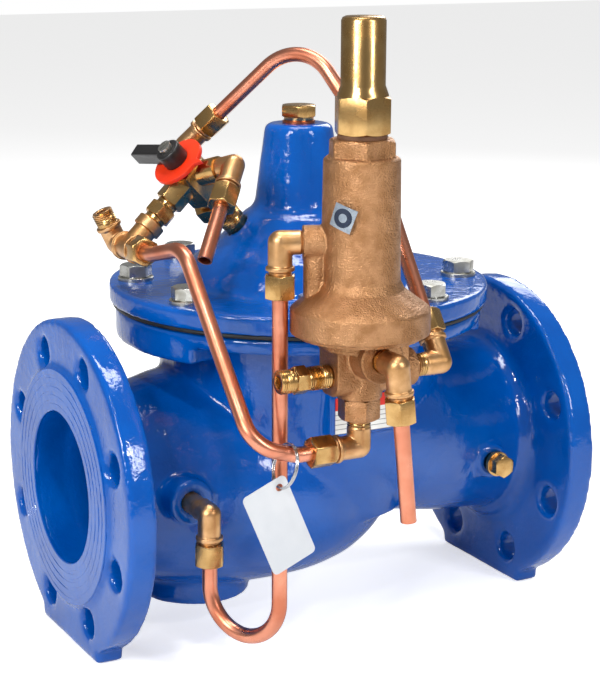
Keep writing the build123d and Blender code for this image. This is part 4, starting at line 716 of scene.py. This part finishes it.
def thread(start, way, length, radius=THREAD_R):
    """One stretch of thread from a point along a direction."""
    place = Matrix.Translation(start) @ Vector(way).to_track_quat("Z", "Y").to_matrix().to_4x4()
    return grown(ridge_tree, ridge_ids, {"Radius": radius, "Pitch": THREAD_PITCH, "Length": length,
                                         "Ridge": THREAD_RIDGE, "Material": brass}, place)


for node in ("inlet_elbow", "pilot_upper_elbow", "pilot_bottom_elbow", "pilot_outlet_elbow",
             "pilot_front_elbow", "cock_elbows", "tee", "end_elbow"):
    forged(node)

# The middles of the cock and of the fittings round it, which all lean, and the ways that their legs run.
COCK, TO_TEE = Vector((0.09610, 0.00001, 0.19810)), Vector((-1, 0, -1)).normalized()
TEE_NIPPLE = COCK + TO_TEE * 0.03185
END_ELBOW, END_LEG = Vector((0.05373, 0.02595, 0.15321)), Vector((-0.422, 0.0644, 0.9043))
COCK_ENTRY, COCK_UP = Vector((0.1289, 0.0062, 0.1653)), Vector((-0.7009, -0.1323, 0.7009))
COCK_THREAD_R = 0.00838
PORT_Z, FRONT_PORT_Z, BOTTOM_PORT_Z = 0.102, 0.1147, 0.069
TO_INLET, UP, INTO = (-1, 0, 0), (0, 0, 1), (0, 1, 0)
threads = [thread((0.1040, PILOT_AXIS.y, PORT_Z), TO_INLET, 0.0152),
           thread((0.0806, PILOT_AXIS.y, PORT_Z), TO_INLET, 0.0092),
           thread((0.1685, PILOT_AXIS.y, PORT_Z), TO_INLET, 0.0080),
           thread((PILOT_AXIS.x, PILOT_AXIS.y, BOTTOM_PORT_Z), UP, 0.0046),
           thread((PILOT_AXIS.x, -0.2027, FRONT_PORT_Z), INTO, 0.0034),
           thread(END_ELBOW + END_LEG * 0.0142, END_LEG, 0.0096),
           thread(TEE_NIPPLE + TO_TEE * 0.0045, TO_TEE, 0.0034),
           thread(TEE_NIPPLE - TO_TEE * 0.0079, TO_TEE, 0.0034),
           thread(COCK_ENTRY + COCK_UP * 0.0005, COCK_UP, 0.0138, COCK_THREAD_R)]
thread_mesh = joined("pipe_threads", [(t, Matrix()) for t in threads])
new_piece("pipe_threads", shaded(thread_mesh, 12), brass, "valve", "machined_brass")

# ------------------------------------------------------------------ nipples and tube nuts
# Turned brass: a long hexagon nipple left open on the pilot, the nipple between cock and tee,
# and chamfered compression nuts over plain ferrules on every tube end.
machined("pilot_nipple", brass, "valve", "machined_brass", 0.0005)
machined("tee_nipple", brass, "valve", "machined_brass", 0.0005)
machined("tube_nuts", brass, "valve", "machined_brass", 0.0007)
repaint(brass, "tube_ferrules")

# ------------------------------------------------------------------ copper tubes
# Bright drawn copper, bent cold. It is a little uneven along its length where it was handled
# and has started to tarnish.
copper = finish("copper_tube", (226, 152, 124), (206, 124, 94), (0.27, 0.38), 1.0, 120, 1800, 0.25, 48,
                0.00010)
repaint(copper, "inlet_tube", "sensing_tube", "bonnet_tube", "stub_tubes")

# ------------------------------------------------------------------ three-way cock
# Brass cock held on the bonnet by a union nut. Its ball turns with a bulky black lever over a
# red plate whose two points show where the ways stand.
ball_chrome = finish("chromed_ball", (214, 216, 220), (196, 198, 204), (0.06, 0.12), 1.0, 300, 2000, 0.4, 60,
                     0.00001)
red_plate = finish("red_plate", (232, 54, 14), (214, 44, 10), (0.3, 0.42), 0.0, 220, 1800, 0.4, 80, 0.00005)
black_plastic = finish("black_plastic", (20, 19, 20), (30, 28, 29), (0.30, 0.42), 0.0, 240, 1700, 0.55, 60,
                       0.00012)
machined("cock_union", brass, "valve", "machined_brass", 0.0008)
machined("cock_body", brass, "valve", "machined_brass", 0.0006)
repaint(ball_chrome, "cock_ball")
machined("position_plate", red_plate, "cock_plug", "red_plate", 0.0005)
machined("cock_handle", black_plastic, "cock_plug", "black_plastic", 0.0013)
machined("handle_screw", zinc_steel, "cock_plug", "zinc_steel", 0.0004)

# ------------------------------------------------------------------ hang tag
# Blank white card on a steel split ring, which hangs from the sensing tube.
steel_wire = finish("steel_wire", (198, 198, 200), (170, 170, 174), (0.15, 0.3), 1.0, 300, 2000, 0.4, 90,
                    0.00002)
# The card's white is painted a bluish grey here: painted shade for the shadow the card hangs in.
card = finish("card", (204, 207, 211), (196, 200, 205), (0.5, 0.65), 0.0, 200, 2600, 0.7, 50, 0.00004)
repaint(steel_wire, "tag_ring")
repaint(card, "tag_card")
